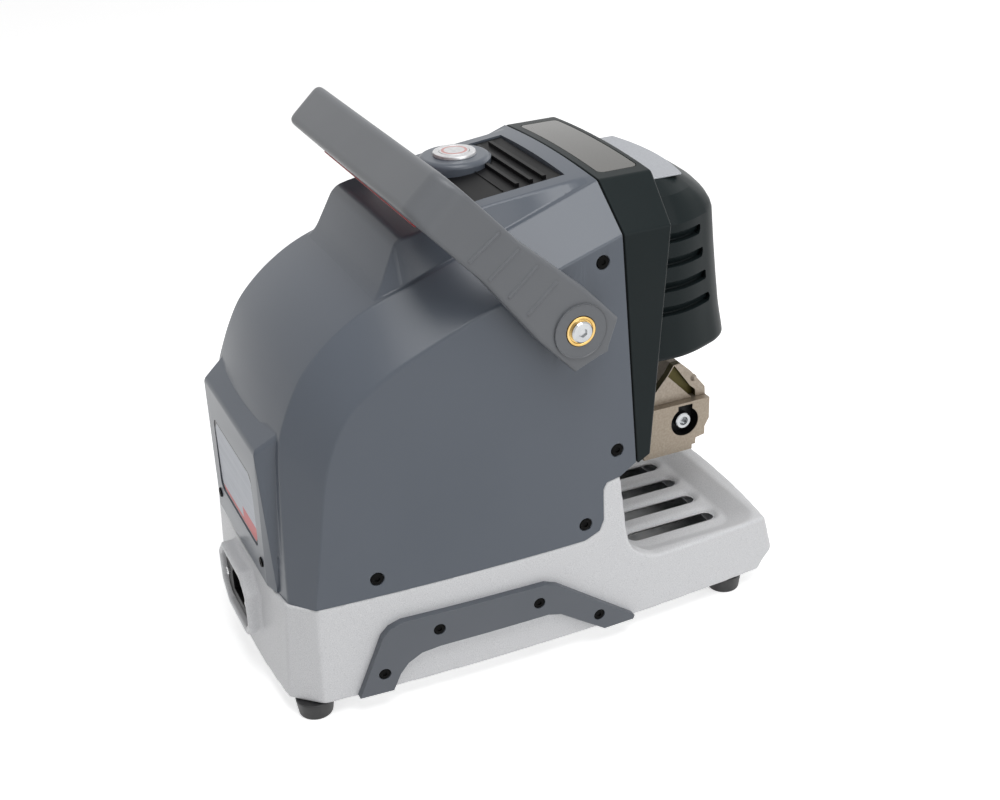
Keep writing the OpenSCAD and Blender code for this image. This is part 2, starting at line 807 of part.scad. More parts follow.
module button_body() {
    color("silver") difference() {
        union() {
            rod_z(boss_top, boss_top + bezel_h, button_at, cap_r);
            rod_z(boss_top - 26, boss_top, button_at, button_r);
        }
        rod_z(spring_low, boss_top + bezel_h + 1, button_at, actuator_r + run);
    }
}
module button_cap() {
    color("gainsboro") rod_z(actuator_low, boss_top + bezel_h + 0.5, button_at, actuator_r);
}
module button_spring() {
    pitch = (actuator_low - spring_low - 2 * spring_lap) / (spring_turns + 1);
    wire_r = pitch / 2 + spring_lap;
    color("silver") for (i = [0:spring_turns])
        translate([button_at.x, button_at.y, spring_low + wire_r + i * pitch])
            rotate_extrude() translate([spring_r, 0]) circle(r = wire_r);
}

module label_plate() {
    color("lightslategray") translate([0, label_y, label_z]) rotate([-90, 0, 0]) linear_extrude(0.7)
        polygon([[-label_w / 2 + gap, -label_h / 2 + 9], [-label_w / 2 + 5, -label_h / 2 + gap],
            [label_w / 2 - 5, -label_h / 2 + gap], [label_w / 2 - gap, -label_h / 2 + 9],
            [label_w / 2 - gap, label_h / 2 - gap], [-label_w / 2 + gap, label_h / 2 - gap]]);
}
module label_screws() {
    color("black") for (x = [-1, 1] * label_screw_x)
        translate([x, label_face_y + 0.1, label_screw_z]) rotate([-90, 0, 0]) screw(2.8, 1, shank_r,
            3.5, 1.2);
}

// Octagon seen from behind, w wide and h high with corners cut by c
module octagon(w, h, c) {
    polygon([[-w / 2 + c, -h / 2], [w / 2 - c, -h / 2], [w / 2, -h / 2 + c], [w / 2, h / 2 - c],
        [w / 2 - c, h / 2], [-w / 2 + c, h / 2], [-w / 2, h / 2 - c], [-w / 2, -h / 2 + c]]);
}
module along_y(y0, y1) {
    translate([0, y1, inlet_z]) rotate([90, 0, 0]) linear_extrude(y1 - y0) children();
}
module inlet_cut() {
    along_y(inlet_floor, inlet_y + 5) octagon(inlet_hole.x, inlet_hole.y, 8);
    along_y(inlet_floor - 10, inlet_y) square([socket_w + 0.4, socket_h + 0.4], center = true);
    for (x = [-1, 1] * inlet_screw_x) rod_y(inlet_floor - 7, inlet_floor + 1, [x, inlet_z], 1.5);
}
module inlet_rim() {
    difference() {
        along_y(inlet_floor - inlet_wall, inlet_y) octagon(inlet_hole.x + 9, inlet_hole.y + 9, 11);
        inlet_cut();
    }
}
module inlet_socket() {
    color([0.06, 0.06, 0.06]) difference() {
        union() {
            along_y(inlet_floor, inlet_floor + socket_flange_t) octagon(inlet_hole.x - 1,
                inlet_hole.y - 3, 9);
            along_y(inlet_floor - 22, inlet_floor) square([socket_w, socket_h], center = true);
        }
        along_y(inlet_floor - 15, inlet_floor + 3) octagon(socket_w - 3, socket_h - 4, 3);
        for (x = [-1, 1] * inlet_screw_x) rod_y(inlet_floor - 5, inlet_floor + 5, [x, inlet_z], 1.5);
    }
}
module inlet_pins() {
    color("goldenrod") for (x = [-7, 0, 7])
        translate([x, 0, x == 0 ? 0 : -2])
            block([-1, inlet_floor - 15, inlet_z - 2], [1, inlet_floor - 1, inlet_z + 2]);
}
module inlet_screws() {
    color("silver") for (x = [-1, 1] * inlet_screw_x)
        translate([x, inlet_floor + socket_flange_t, inlet_z]) rotate([-90, 0, 0]) screw(2.7, 1.4,
            1.45, 6, 1);
}

// ---------------------------------------------------------------- column and handle

module column_frame() {
    color("silver") difference() {
        union() {
            block([-column_half, column_y[0], deck_top], [column_half, column_y[1], column_top]);
            block([-70, column_y[1], deck_top], [70, column_y[1] + 12, deck_top + 6]);
            block([-ear_x[1], column_y[0], ear_z[0]], [ear_x[1], column_y[1], ear_z[1]]);
            both() block([ear_x[0], column_y[1] - 1, ear_z[0]], [ear_x[1], -4, ear_z[1]]);
            both() block([z_rod_gap / 2 - 9, z_rod_y - 8, z_lug_z], [z_rod_gap / 2 + 9, column_y[0],
                z_lug_z + 6]);
        }
        block([-window_half, -60, window_z[0]], [window_half, -30, window_z[1]]);
        both() rod_z(z_lug_z - 1, z_lug_z + 7, [z_rod_gap / 2, z_rod_y], rod_r);
        both() rod_y(-60, -30, [y_rod_gap / 2, y_rod_z], rod_r);
        rod_y(-60, -30, [0, y_rod_z], screw_r + run);
        both() rod_x(ear_x[0] - 5, ear_x[1] + 5, pivot, bolt_r);
    }
}

// Outline of the bail seen square on, as [x, reach]
module bail_outline(half, reach, corner) {
    translate([-half, -60]) square([2 * half, 60 + reach - corner]);
    translate([corner - half, 0]) square([2 * (half - corner), reach]);
    for (s = [-1, 1]) translate([s * (half - corner), reach - corner]) circle(r = corner);
}
module in_bail() {
    translate([0, pivot.x, pivot.y]) rotate([bail_angle, 0, 0]) children();
}
module handle_bail() {
    color([0.35, 0.37, 0.4]) in_bail() difference() {
        union() {
            intersection() {
                across(bail_side, 120);
                translate([0, 0, -40]) linear_extrude(80) difference() {
                    bail_outline(arm_out, bail_reach, 26);
                    bail_outline(arm_in, bar_in, 16);
                }
            }
            both() rod_x(arm_out - 1, arm_out + disc_t, [0, 0], disc_r);
        }
        both() rod_x(arm_in - 1, arm_out + 5, [0, 0], bush_r + run);
        for (u = grip_at) both()
            block([arm_out - 0.7, u - 0.9, -12.5 + u * 0.045], [arm_out + 1, u + 0.9, 12.5 - u * 0.045]);
        translate([0, 0, -20]) linear_extrude(40) difference() {
            translate([-inlay_half - gap, bar_in - 10]) square([2 * (inlay_half + gap), 14]);
            translate([-inlay_half - 2, bar_in]) square([2 * inlay_half + 4, 20]);
        }
    }
}
module grip_inlay() {
    color("firebrick") in_bail() difference() {
        block([-inlay_half, bar_in - inlay_t, -arm_w / 2 - 0.8], [inlay_half, bar_in + 6, arm_w / 2 + 0.8]);
        block([-inlay_half - 1, bar_in, -arm_w / 2], [inlay_half + 1, bar_in + 7, arm_w / 2]);
    }
}
module handle_bushes() {
    color("goldenrod") both() difference() {
        union() {
            rod_x(half_w + boss_reach, bush_out, pivot, bush_r);
            rod_x(bush_out, bush_out + flange_t, pivot, flange_r);
        }
        rod_x(half_w, bush_out + 3, pivot, bolt_r);
    }
}
module handle_bolts() {
    color("silver") both() out_x(bush_out + flange_t, pivot)
        screw(bolt_head_r, bolt_head_h, bolt_r, bush_out + flange_t - ear_x[0], 2.5);
}

// ---------------------------------------------------------------- lengthwise and cross slides

module y_rods() {
    color("silver") both() rod_y(column_y[0], y_bracket_y + y_bracket_t, [y_rod_gap / 2, y_rod_z], rod_r);
}
module rear_bracket() {
    color("silver") difference() {
        block([-y_rod_gap / 2 - 12, y_bracket_y, deck_top], [y_rod_gap / 2 + 12,
            y_bracket_y + y_bracket_t, 100]);
        both() rod_y(40, 80, [y_rod_gap / 2, y_rod_z], rod_r);
        rod_y(40, 80, [0, y_rod_z], screw_r + run);
    }
}
// A square stepper motor of width w along +Z from the origin, with cut corners
module stepper(w, h) {
    linear_extrude(h) polygon([[-w / 2 + 3, -w / 2], [w / 2 - 3, -w / 2], [w / 2, -w / 2 + 3], [w / 2,
        w / 2 - 3],
        [w / 2 - 3, w / 2], [-w / 2 + 3, w / 2], [-w / 2, w / 2 - 3], [-w / 2, -w / 2 + 3]]);
}
module y_motor() {
    color("dimgray") translate([0, y_bracket_y + y_bracket_t, y_rod_z])
        rotate([-90, 0, 0]) stepper(motor_w, motor_h);
}
module y_screw() {
    color("silver") rod_y(column_y[0], y_bracket_y + y_bracket_t - gap, [0, y_rod_z], screw_r);
}
module y_carriage() {
    color("gray") difference() {
        union() {
            block([-x_cheek[1], carriage_y[0], carriage_z[0]], [x_cheek[1], carriage_y[1], carriage_z[1]]);
            both() block([x_cheek[0], carriage_y[0], carriage_z[0]], [x_cheek[1], carriage_y[1],
                cheek_top]);
        }
        both() rod_y(-30, 40, [y_rod_gap / 2, y_rod_z], rod_r + run);
        rod_y(-30, 40, [0, y_rod_z], screw_r + run);
        for (y = x_rod_y) rod_x(-60, 60, [y, x_rod_z], cross_rod_r);
        rod_x(-60, 60, [x_screw_y, x_rod_z], screw_r - 1 + run);
    }
}
module x_rods() {
    color("silver") for (y = x_rod_y) rod_x(-x_cheek[1], x_cheek[1], [y, x_rod_z], cross_rod_r);
}
module x_motor() {
    color("dimgray") translate([x_cheek[1], x_screw_y, x_rod_z]) rotate([0, 90,
        0]) stepper(small_motor_w, motor_h);
}
module x_screw() {
    color("silver") rod_x(-x_cheek[1], x_cheek[1] - gap, [x_screw_y, x_rod_z], screw_r - 1);
}
module x_table() {
    color("silver") difference() {
        union() {
            block([-20, -16, arm_z[0]], [20, 30, cheek_top]);
            block([-arm_half, clamp_back, arm_z[0]], [arm_half, -16, arm_z[1]]);
        }
        for (y = x_rod_y) rod_x(-30, 30, [y, x_rod_z], cross_rod_r + run);
        rod_x(-30, 30, [x_screw_y, x_rod_z], screw_r - 1 + run);
    }
}

// ---------------------------------------------------------------- upright slide and spindle

module z_rods() {
    color("silver") both() rod_z(z_lug_z, column_top + bracket_t, [z_rod_gap / 2, z_rod_y], rod_r);
}
module z_bracket() {
    color("silver") difference() {
        block([-z_rod_gap / 2 - 10, z_rod_y - 10, column_top],
            [z_rod_gap / 2 + 10, column_y[1], column_top + bracket_t]);
        both() rod_z(200, 300, [z_rod_gap / 2, z_rod_y], rod_r);
        rod_z(200, 300, [z_screw_x, z_rod_y], screw_r + run);
    }
}
module z_motor() {
    color("dimgray") translate([z_screw_x, z_rod_y, column_top + bracket_t]) stepper(motor_w, motor_h);
}
module z_screw() {
    color("silver") rod_z(141, column_top + bracket_t - gap, [z_screw_x, z_rod_y], screw_r);
}
module z_carriage() {
    color("gray") difference() {
        union() {
            block([-z_rod_gap / 2 - 9, z_rod_y - 7, carriage_low], [z_rod_gap / 2 + 9, z_rod_y + 7,
                carriage_high]);
            block([nose_x[0], motor_at.y, nose_z0], [nose_x[1], z_rod_y - 7, nose_z1]);
            rod_z(nose_z0, nose_z1, spindle_at, housing_r + 2);
            rod_z(nose_z0, nose_z1, motor_at, spindle_motor_r + 2);
            block([probe_x - 6, -spindle_y, nose_z0], [probe_x + 6, -90, nose_z1]);
            rod_z(nose_z0, nose_z1, [probe_x, -spindle_y], 6);
        }
        both() rod_z(100, 300, [z_rod_gap / 2, z_rod_y], rod_r + run);
        rod_z(100, 300, [z_screw_x, z_rod_y], screw_r + run);
        rod_z(100, 300, spindle_at, housing_r);
        rod_z(100, 300, motor_at, spindle_motor_r);
        rod_z(100, 300, [probe_x, -spindle_y], 3);
    }
}
module spindle_housing() {
    color("silver") difference() {
        rod_z(housing_z[0], housing_z[1], spindle_at, housing_r);
        rod_z(housing_z[0] + 3, housing_z[1] - 3, spindle_at, bearing_r);
        rod_z(100, 300, spindle_at, shaft_r + 1);
    }
}
module spindle_bearings() {
    color("lightsteelblue") for (z = [housing_z[0] + 3, housing_z[1] - 3 - bearing_h]) difference() {
        rod_z(z, z + bearing_h, spindle_at, bearing_r);
        rod_z(z - 1, z + bearing_h + 1, spindle_at, shaft_r + run);
    }
}
module spindle_shaft() {
    color("silver") difference() {
        union() {
            rod_z(153, pulley_z + pulley_h, spindle_at, shaft_r);
            rod_z(153, housing_z[0] - gap, spindle_at, collet_r);
            rod_z(pulley_z, pulley_z + pulley_h, spindle_at, spindle_pulley_r);
        }
        rod_z(150, 168, spindle_at, cutter_shank_r);
    }
}
module cutter() {
    color("gold") {
        rod_z(152, 168, spindle_at, cutter_shank_r);
        rod_z(tip_z, 152, spindle_at, cutter_r);
    }
}
module spindle_motor() {
    color("dimgray") difference() {
        rod_z(nose_z0, pulley_z - 3, motor_at, spindle_motor_r);
        rod_z(pulley_z - 12, pulley_z, motor_at, 2.5 + run);
    }
}
module motor_shaft() {
    color("silver") {
        rod_z(pulley_z - 11.5, pulley_z + pulley_h, motor_at, 2.5);
        rod_z(pulley_z, pulley_z + pulley_h, motor_at, motor_pulley_r);
    }
}
module drive_belt() {
    color([0.05, 0.05, 0.05]) translate([0, 0, pulley_z + 1]) linear_extrude(pulley_h - 2) difference() {
        hull() {
            translate(spindle_at) circle(r = spindle_pulley_r + gap + belt_t);
            translate(motor_at) circle(r = motor_pulley_r + gap + belt_t);
        }
        hull() {
            translate(spindle_at) circle(r = spindle_pulley_r + gap);
            translate(motor_at) circle(r = motor_pulley_r + gap);
        }
    }
}
module probe() {
    color("silver") {
        rod_z(155, nose_z1, [probe_x, -spindle_y], 3);
        rod_z(tip_z, 155, [probe_x, -spindle_y], cutter_r);
    }
}
module chip_guard() {
    color([0.8, 0.85, 0.9, 0.4]) difference() {
        rod_z(150, nose_z0, spindle_at, guard_r);
        rod_z(149, nose_z0 - 8, spindle_at, guard_r - 1.5);
        rod_z(149, nose_z0 + 1, spindle_at, housing_r);
    }
}

// ---------------------------------------------------------------- clamp

module clamp_body() {
    color("tan") difference() {
        union() {
            block([-clamp_half, clamp_front, clamp_z + clamp_step], [clamp_half, clamp_back, clamp_top]);
            block([3 - clamp_half, clamp_front + 10, clamp_z], [clamp_half - 3, clamp_back,
                clamp_z + clamp_step + 1]);
            intersection() {
                across(jaw_side, 25);
                block([1.5, -200, 0], [30, 0, 200]);
            }
            block([1.5, -134, clamp_top - 1], [25, -106, clamp_top + 1]);
        }
        block([lug_x[0] - jaw_travel - gap, lug_y[0] - gap, 88], [lug_x[1] + gap, lug_y[1] + gap,
            clamp_top + 1]);
        rod_x(-40, 22, clamp_screw_at, thread_r + run);
        rod_x(-clamp_half - 10, -clamp_half + 8, clamp_screw_at, screw_well_r);
    }
}
module clamp_jaw() {
    color("tan") difference() {
        union() {
            intersection() {
                across(jaw_side, 25);
                block([-30, -200, 0], [-1.5, 0, 200]);
            }
            block([lug_x[0], lug_y[0], 90], [lug_x[1], lug_y[1], clamp_top + 3]);
        }
        rod_x(-40, 22, clamp_screw_at, thread_r + run);
    }
}
module clamp_screw() {
    color("gainsboro") {
        rod_x(-clamp_half + 7, 20, clamp_screw_at, thread_r);
        mirror([1, 0, 0]) out_x(clamp_half - 7.8, clamp_screw_at) difference() {
            cylinder(h = 6.5, r = 5.3);
            translate([0, 0, 3]) cylinder(h = 6, r = 2.5, $fn = 6);
        }
    }
}

// ---------------------------------------------------------------- electrics

module power_supply() {
    color("silver") block([20.2 - half_w, -30, sheet_top], [-14, 90, sheet_top + supply_h]);
}
module control_board() {
    top = sheet_top + board_z + 1.6;
    x1 = half_w - 19.2;
    color("darkgreen") {
        block([0, -30, sheet_top + board_z], [x1, 80, top]);
        for (x = [5, x1 - 5]) for (y = [-24, 74]) rod_z(sheet_top, sheet_top + board_z, [x, y], 3);
        for (i = [0:3]) block([8 + i * 14, -10, top], [18 + i * 14, 6, top + 6.4]);
        block([20, 24, top], [44, 48, top + 2.4]);
        for (i = [0:2]) rod_z(top, top + 14.4, [12 + i * 16, 64], 5);
    }
}
module on_fan() {
    on_roof(fan_at) translate([0, 0, -grille_t - fan_t]) children();
}
module fan_frame() {
    color([0.1, 0.1, 0.1]) on_fan() difference() {
        translate([-fan_w / 2, -fan_w / 2, 0]) cube([fan_w, fan_w, fan_t]);
        translate([0, 0, 1.5]) cylinder(h = fan_t, r = fan_bore);
        difference() {
            translate([0, 0, -1]) cylinder(h = fan_t, r = fan_bore);
            translate([0, 0, -1]) cylinder(h = fan_t, r = 9);
            for (a = [0, 60, 120]) rotate([0, 0, a]) translate([-20, -1, -1]) cube([40, 2, fan_t]);
        }
        translate([0, 0, -1]) cylinder(h = fan_t, r = 1.5 + run);
    }
}
module fan_rotor() {
    color([0.15, 0.15, 0.15]) on_fan() {
        translate([0, 0, 2]) cylinder(h = fan_t - 2.5, r = 9);
        translate([0, 0, 0.2]) cylinder(h = 2, r = 1.5);
        for (a = [0:60:300]) rotate([0, 0, a]) translate([0, -0.8, 2.5]) rotate([35, 0, 0]) cube([17.5,
            1.6, 6]);
    }
}

placed() base_casting();
placed() bottom_plate();
placed() plate_screws();
placed() feet();
placed() foot_screws();
placed() side_rail_left();
placed() side_rail_right();
placed() rail_screws();
placed() main_shell();
placed() shell_screws();
placed() shell_gasket();
placed() front_frame();
placed() smoked_panel();
placed() head_hood();
placed() hood_plate();
placed() roof_grille();
placed() button_body();
placed() button_cap();
placed() button_spring();
placed() label_plate();
placed() label_screws();
placed() inlet_socket();
placed() inlet_pins();
placed() inlet_screws();
placed() column_frame();
placed() handle_bail();
placed() grip_inlay();
placed() handle_bushes();
placed() handle_bolts();
placed() y_rods();
placed() rear_bracket();
placed() y_motor();
placed() y_screw();
placed() y_carriage();
placed() x_rods();
placed() x_motor();
placed() x_screw();
placed() x_table();
placed() z_rods();
placed() z_bracket();
placed() z_motor();
placed() z_screw();
placed() z_carriage();
placed() spindle_motor();
placed() spindle_housing();
placed() spindle_bearings();
placed() spindle_shaft();
placed() motor_shaft();
placed() drive_belt();
placed() cutter();
placed() probe();
placed() chip_guard();
placed() clamp_body();
placed() clamp_jaw();
placed() clamp_screw();
placed() power_supply();
placed() control_board();
placed() fan_frame();
placed() fan_rotor();
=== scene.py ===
# Key duplicating machine, dressed piece by piece in the order in which it is put together.
# Lengths in this file are millimetres, measured from the middle of the four feet, until a mesh is made.

import itertools
import json
import math

import bmesh
import bpy
import numpy as np
from mathutils import Matrix, Vector

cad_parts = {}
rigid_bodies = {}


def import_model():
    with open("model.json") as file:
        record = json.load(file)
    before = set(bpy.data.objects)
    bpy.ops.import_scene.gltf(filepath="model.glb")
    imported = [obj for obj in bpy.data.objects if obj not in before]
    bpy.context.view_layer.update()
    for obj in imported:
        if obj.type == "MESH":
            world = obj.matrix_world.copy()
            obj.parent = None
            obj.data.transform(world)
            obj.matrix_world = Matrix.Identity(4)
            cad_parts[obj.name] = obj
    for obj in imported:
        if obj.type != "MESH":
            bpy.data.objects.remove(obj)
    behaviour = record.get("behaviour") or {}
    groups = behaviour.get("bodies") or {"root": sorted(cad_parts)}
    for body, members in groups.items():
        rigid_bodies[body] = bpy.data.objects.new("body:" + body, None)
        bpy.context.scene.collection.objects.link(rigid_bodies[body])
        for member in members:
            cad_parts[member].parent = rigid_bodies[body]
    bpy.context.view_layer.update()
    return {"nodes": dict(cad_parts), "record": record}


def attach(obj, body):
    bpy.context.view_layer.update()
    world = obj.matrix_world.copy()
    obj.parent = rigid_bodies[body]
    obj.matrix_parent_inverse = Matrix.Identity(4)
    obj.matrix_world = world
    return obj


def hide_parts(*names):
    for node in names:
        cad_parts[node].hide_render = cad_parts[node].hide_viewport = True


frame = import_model()


# ---- camera
# A long-lens view from behind the left shoulder of the machine, looking down at its casing.
MID_Y = 5.9  # the frame's zero lies this far in front of the middle of the feet
CAMERA_AT = (-721.14, 296.72, 530.96)
CAMERA_RIGHT = (-0.4158292, -0.908693, -0.0369202)
CAMERA_DOWN = (-0.4023431, 0.2202213, -0.8886071)
CAMERA_AHEAD = (0.8156017, -0.3546542, -0.4571808)
LENS_MM = 53.505
SENSOR_MM = 36


def place(x, y, z):
    """A point in millimetres from the middle of the feet, in metres in the frame."""
    return Vector((x, y + MID_Y, z)) / 1000


camera = bpy.data.objects.new("camera", bpy.data.cameras.new("camera"))
camera.data.lens = LENS_MM
camera.data.sensor_width = SENSOR_MM
camera.data.sensor_fit = "HORIZONTAL"
camera.data.clip_start = 0.01
turn = Matrix([Vector(CAMERA_RIGHT), -Vector(CAMERA_DOWN), -Vector(CAMERA_AHEAD)]).transposed()
camera.matrix_world = Matrix.LocRotScale(place(*CAMERA_AT), turn.to_quaternion(), None)
bpy.context.scene.collection.objects.link(camera)
bpy.context.scene.camera = camera
bpy.context.scene.view_settings.view_transform = "Standard"


# ---- studio
# A pale table and a white surround, with one broad soft lamp above and weaker ones at the sides.
class Value:
    """A node's output that takes part in Python arithmetic; each operation adds a Math node."""

    def __init__(self, nodes, socket):
        self.nodes, self.socket = nodes, socket

    def __rsub__(self, other):
        return self.nodes.math("SUBTRACT", other, self)

    def size(self):
        return self.nodes.math("ABSOLUTE", self)


OPERATIONS = {"__add__": "ADD", "__radd__": "ADD", "__sub__": "SUBTRACT", "__mul__": "MULTIPLY", "__rmul__": "MULTIPLY",
              "__gt__": "GREATER_THAN", "__lt__": "LESS_THAN", "larger": "MAXIMUM", "smaller": "MINIMUM"}
for method, operation in OPERATIONS.items():
    setattr(Value, method, lambda self, other, operation=operation: self.nodes.math(operation, self, other))


class Made:
    """A node that has been added, whose outputs are read by name or number."""

    def __init__(self, nodes, node):
        self.nodes, self.node = nodes, node

    def __getitem__(self, name):
        return Value(self.nodes, self.node.outputs[name])


class Nodes:
    """A node tree, built node by node."""

    def __init__(self, tree):
        self.tree = tree
        tree.nodes.clear()

    def give(self, inputs, sockets):
        """Sets or links inputs, which are given by name, or as _0, _1 and so on by number."""
        for name, value in sockets.items():
            at = inputs[int(name[1:]) if name[0] == "_" else name.replace("_", " ")]
            for one in value if isinstance(value, list) else [value]:
                if isinstance(one, Value):
                    self.tree.links.new(one.socket, at)
                else:
                    at.default_value = (*one, 1) if at.type == "RGBA" else one

    def node(self, kind, settings=None, **sockets):
        made = self.tree.nodes.new(kind)
        for name, value in (settings or {}).items():
            setattr(made, name, value)
        self.give(made.inputs, sockets)
        return Made(self, made)

    def math(self, operation, *values):
        numbered = {f"_{i}": value for i, value in enumerate(values)}
        return self.node("ShaderNodeMath", {"operation": operation}, **numbered)[0]


class Finish(Nodes):
    """One material, built round a Principled shader."""

    def __init__(self, name):
        self.material = bpy.data.materials.new(name)
        self.material.use_nodes = True
        super().__init__(self.material.node_tree)
        self.shader = self.node("ShaderNodeBsdfPrincipled")
        self.node("ShaderNodeOutputMaterial", Surface=self.shader["BSDF"])
        self.place = self.node("ShaderNodeTexCoord")["Object"]

    def surface(self, **sockets):
        self.give(self.shader.node.inputs, sockets)

    def at(self, axis):
        """One coordinate of the piece's own place, in millimetres."""
        return self.node("ShaderNodeSeparateXYZ", Vector=self.place)[axis] * 1000

    def noise(self, scale, detail=2.0, stretch=(1, 1, 1)):
        at = self.node("ShaderNodeMapping", Vector=self.place, Scale=stretch)["Vector"]
        return self.node("ShaderNodeTexNoise", Vector=at, Scale=scale, Detail=detail, Roughness=0.5)["Fac"]

    def ramp(self, factor, stops):
        made = self.node("ShaderNodeValToRGB", Fac=factor)
        bands = made.node.color_ramp.elements
        while len(bands) < len(stops):
            bands.new(1)
        for band, (at, colour) in zip(bands, stops):
            band.position, band.color = at, (*colour, 1)
        return made["Color"]

    def between(self, factor, dark, light):
        """The colours that a noise spreads between a dark and a light one."""
        return self.ramp(factor, [(0.3, dark), (0.7, light)])

    def mix(self, factor, first, second):
        return self.node("ShaderNodeMix", {"data_type": "RGBA"}, _0=factor, _6=first, _7=second)[2]

    def bump(self, height, depth, strength=1.0):
        self.surface(Normal=self.node("ShaderNodeBump", Height=height, Distance=depth, Strength=strength)["Normal"])


def seen_by_eye(nodes):
    """1 for what is seen straight, in a mirror or through glass, 0 for what only lights the object."""
    rays = nodes.node("ShaderNodeLightPath")
    return rays["Is Camera Ray"].larger(rays["Is Glossy Ray"]).larger(rays["Is Transmission Ray"])


table = Finish("pale table")
table.surface(Base_Color=(0.86, 0.86, 0.86), Roughness=0.9, Emission_Color=(1, 1, 1))
table.surface(Emission_Strength=seen_by_eye(table) * 0.6)
floor_mesh = bpy.data.meshes.new("floor")
floor_mesh.from_pydata([(-9, -9, 0), (9, -9, 0), (9, 9, 0), (-9, 9, 0)], [], [(0, 1, 2, 3)])
floor_mesh.materials.append(table.material)
floor = bpy.data.objects.new("floor", floor_mesh)
bpy.context.scene.collection.objects.link(floor)

WORLD_LIGHT, WORLD_SEEN = 0.31, 1.0
world = bpy.data.worlds.new("surround")
bpy.context.scene.world = world
world.use_nodes = True
sky = Nodes(world.node_tree)
light, seen = (
    sky.node("ShaderNodeBackground", Color=(1, 1, 1), Strength=strength)["Background"]
    for strength in (WORLD_LIGHT, WORLD_SEEN)
)
surround = sky.node("ShaderNodeMixShader", _0=seen_by_eye(sky), _1=light, _2=seen)["Shader"]
sky.node("ShaderNodeOutputWorld", Surface=surround)


def lamp(name, at, aim, size, power):
    data = bpy.data.lights.new(name, "AREA")
    data.shape = "RECTANGLE"
    data.size, data.size_y = size
    data.energy = power
    made = bpy.data.objects.new(name, data)
    made.location = at
    made.rotation_euler = (Vector(aim) - Vector(at)).to_track_quat("-Z", "Y").to_euler()
    bpy.context.scene.collection.objects.link(made)


lamp("overhead softbox", (-0.45, 0.0, 1.5), (0, 0, 0.15), (0.8, 1.1), 13)
lamp("rear softbox", (0.3, 1.7, 1.1), (0, 0, 0.15), (1.4, 1.0), 0.8)
lamp("left softbox", (-1.7, -0.6, 0.7), (0, 0, 0.15), (1.0, 1.2), 7.5)
lamp("front softbox", (0.5, -1.7, 0.9), (0, 0, 0.15), (1.0, 1.0), 3)


# ---- base casting
# One light-grey casting: chip tray in front, tower with two cheeks behind it, inlet boss at the back.
# It is die cast, its edges are eased by the mould, and it is powder coated with a fine speckle.
NODES = frame["nodes"]
BODY_OF = {node: body for body, members in frame["record"]["behaviour"]["bodies"].items() for node in members}
SLOT_OF = {part["node"]: part["material_slot"] for part in frame["record"]["subparts"]}


def shown(made, finish, *nodes):
    """Gives a finished piece its material and body, and lets it stand for its CAD nodes."""
    made.data.materials.clear()
    made.data.materials.append(finish.material)
    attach(made, BODY_OF[nodes[0]])
    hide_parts(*nodes)
    SLOT_OF[nodes[0]]
    return made


def shade(made, angle):
    made.data.polygons.foreach_set("use_smooth", [True] * len(made.data.polygons))
    made.data.set_sharp_from_angle(angle=math.radians(angle))


def settled(made):
    """Applies what modifiers the piece has and returns it."""
    view = bpy.context.evaluated_depsgraph_get()
    view.update()
    mesh = bpy.data.meshes.new_from_object(made.evaluated_get(view))
    made.modifiers.clear()
    made.data = mesh
    return made


def from_bmesh(name, form):
    bmesh.ops.recalc_face_normals(form, faces=form.faces)
    mesh = bpy.data.meshes.new(name)
    form.to_mesh(mesh)
    form.free()
    made = bpy.data.objects.new(name, mesh)
    bpy.context.scene.collection.objects.link(made)
    shade(made, 35)
    return made


def copied(node, name):
    """A merged copy of a CAD node's mesh, with its flat faces joined up."""
    form = bmesh.new()
    form.from_mesh(NODES[node].data)
    bmesh.ops.remove_doubles(form, verts=form.verts, dist=2e-6)
    bmesh.ops.dissolve_limit(form, angle_limit=math.radians(0.6), verts=form.verts, edges=form.edges)
    return from_bmesh(name, form)


def softened(made, grid, passes, faces):
    """Remeshes a solid on a fine grid and smooths it, as a mould eases every edge."""
    skin = made.modifiers.new("grid", "REMESH")
    skin.mode = "VOXEL"
    skin.voxel_size = grid / 1000
    relax = made.modifiers.new("relaxed", "SMOOTH")
    relax.factor, relax.iterations = 0.5, passes
    settled(made)
    thin = made.modifiers.new("thinned", "DECIMATE")
    thin.ratio = min(1, faces / (2 * len(made.data.polygons)))
    settled(made)
    shade(made, 60)
    return made


TRAY_Z, SLOT_PITCH, SLOT_HALF = 39.5, 23.2, 5.0
SLOT_ENDS = (-133.0, -83.0)  # middles of the round ends
SLOT_ROLL = 4.6  # how far the floor rolls over into a slot
base = softened(copied("base_casting", "base"), 1.15, 4, 190000)
spots = np.empty(len(base.data.vertices) * 3)
base.data.vertices.foreach_get("co", spots)
spots = spots.reshape(-1, 3)
x, y, z = spots[:, 0] * 1000, spots[:, 1] * 1000 - MID_Y, spots[:, 2] * 1000
across = x - np.clip(np.round(x / SLOT_PITCH), -2, 2) * SLOT_PITCH
along = y - np.clip(y, *SLOT_ENDS)
gap = np.clip(np.hypot(across, along) - SLOT_HALF, 0, SLOT_ROLL)
roll = SLOT_ROLL - np.sqrt(np.maximum(SLOT_ROLL**2 - (SLOT_ROLL - gap) ** 2, 0))
on_floor = (np.abs(z - TRAY_Z) < 1.6) & (y < -66) & (np.abs(x) < 68)
spots[on_floor, 2] -= np.minimum(roll, 2.6)[on_floor] / 1000
base.data.vertices.foreach_set("co", spots.ravel())
base.data.update()
base_paint = Finish("speckled base paint")
speckled = base_paint.ramp(base_paint.noise(2600), [
    (0.28, (0.50, 0.505, 0.52)), (0.44, (0.64, 0.645, 0.66)), (0.60, (0.70, 0.705, 0.72)), (0.74, (0.80, 0.80, 0.81)),
])
base_paint.surface(Base_Color=speckled, Roughness=0.36 + base_paint.noise(14, 3) * 0.1)
base_paint.bump(base_paint.noise(1600), 0.00006, 0.4)
shown(base, base_paint, "base_casting")


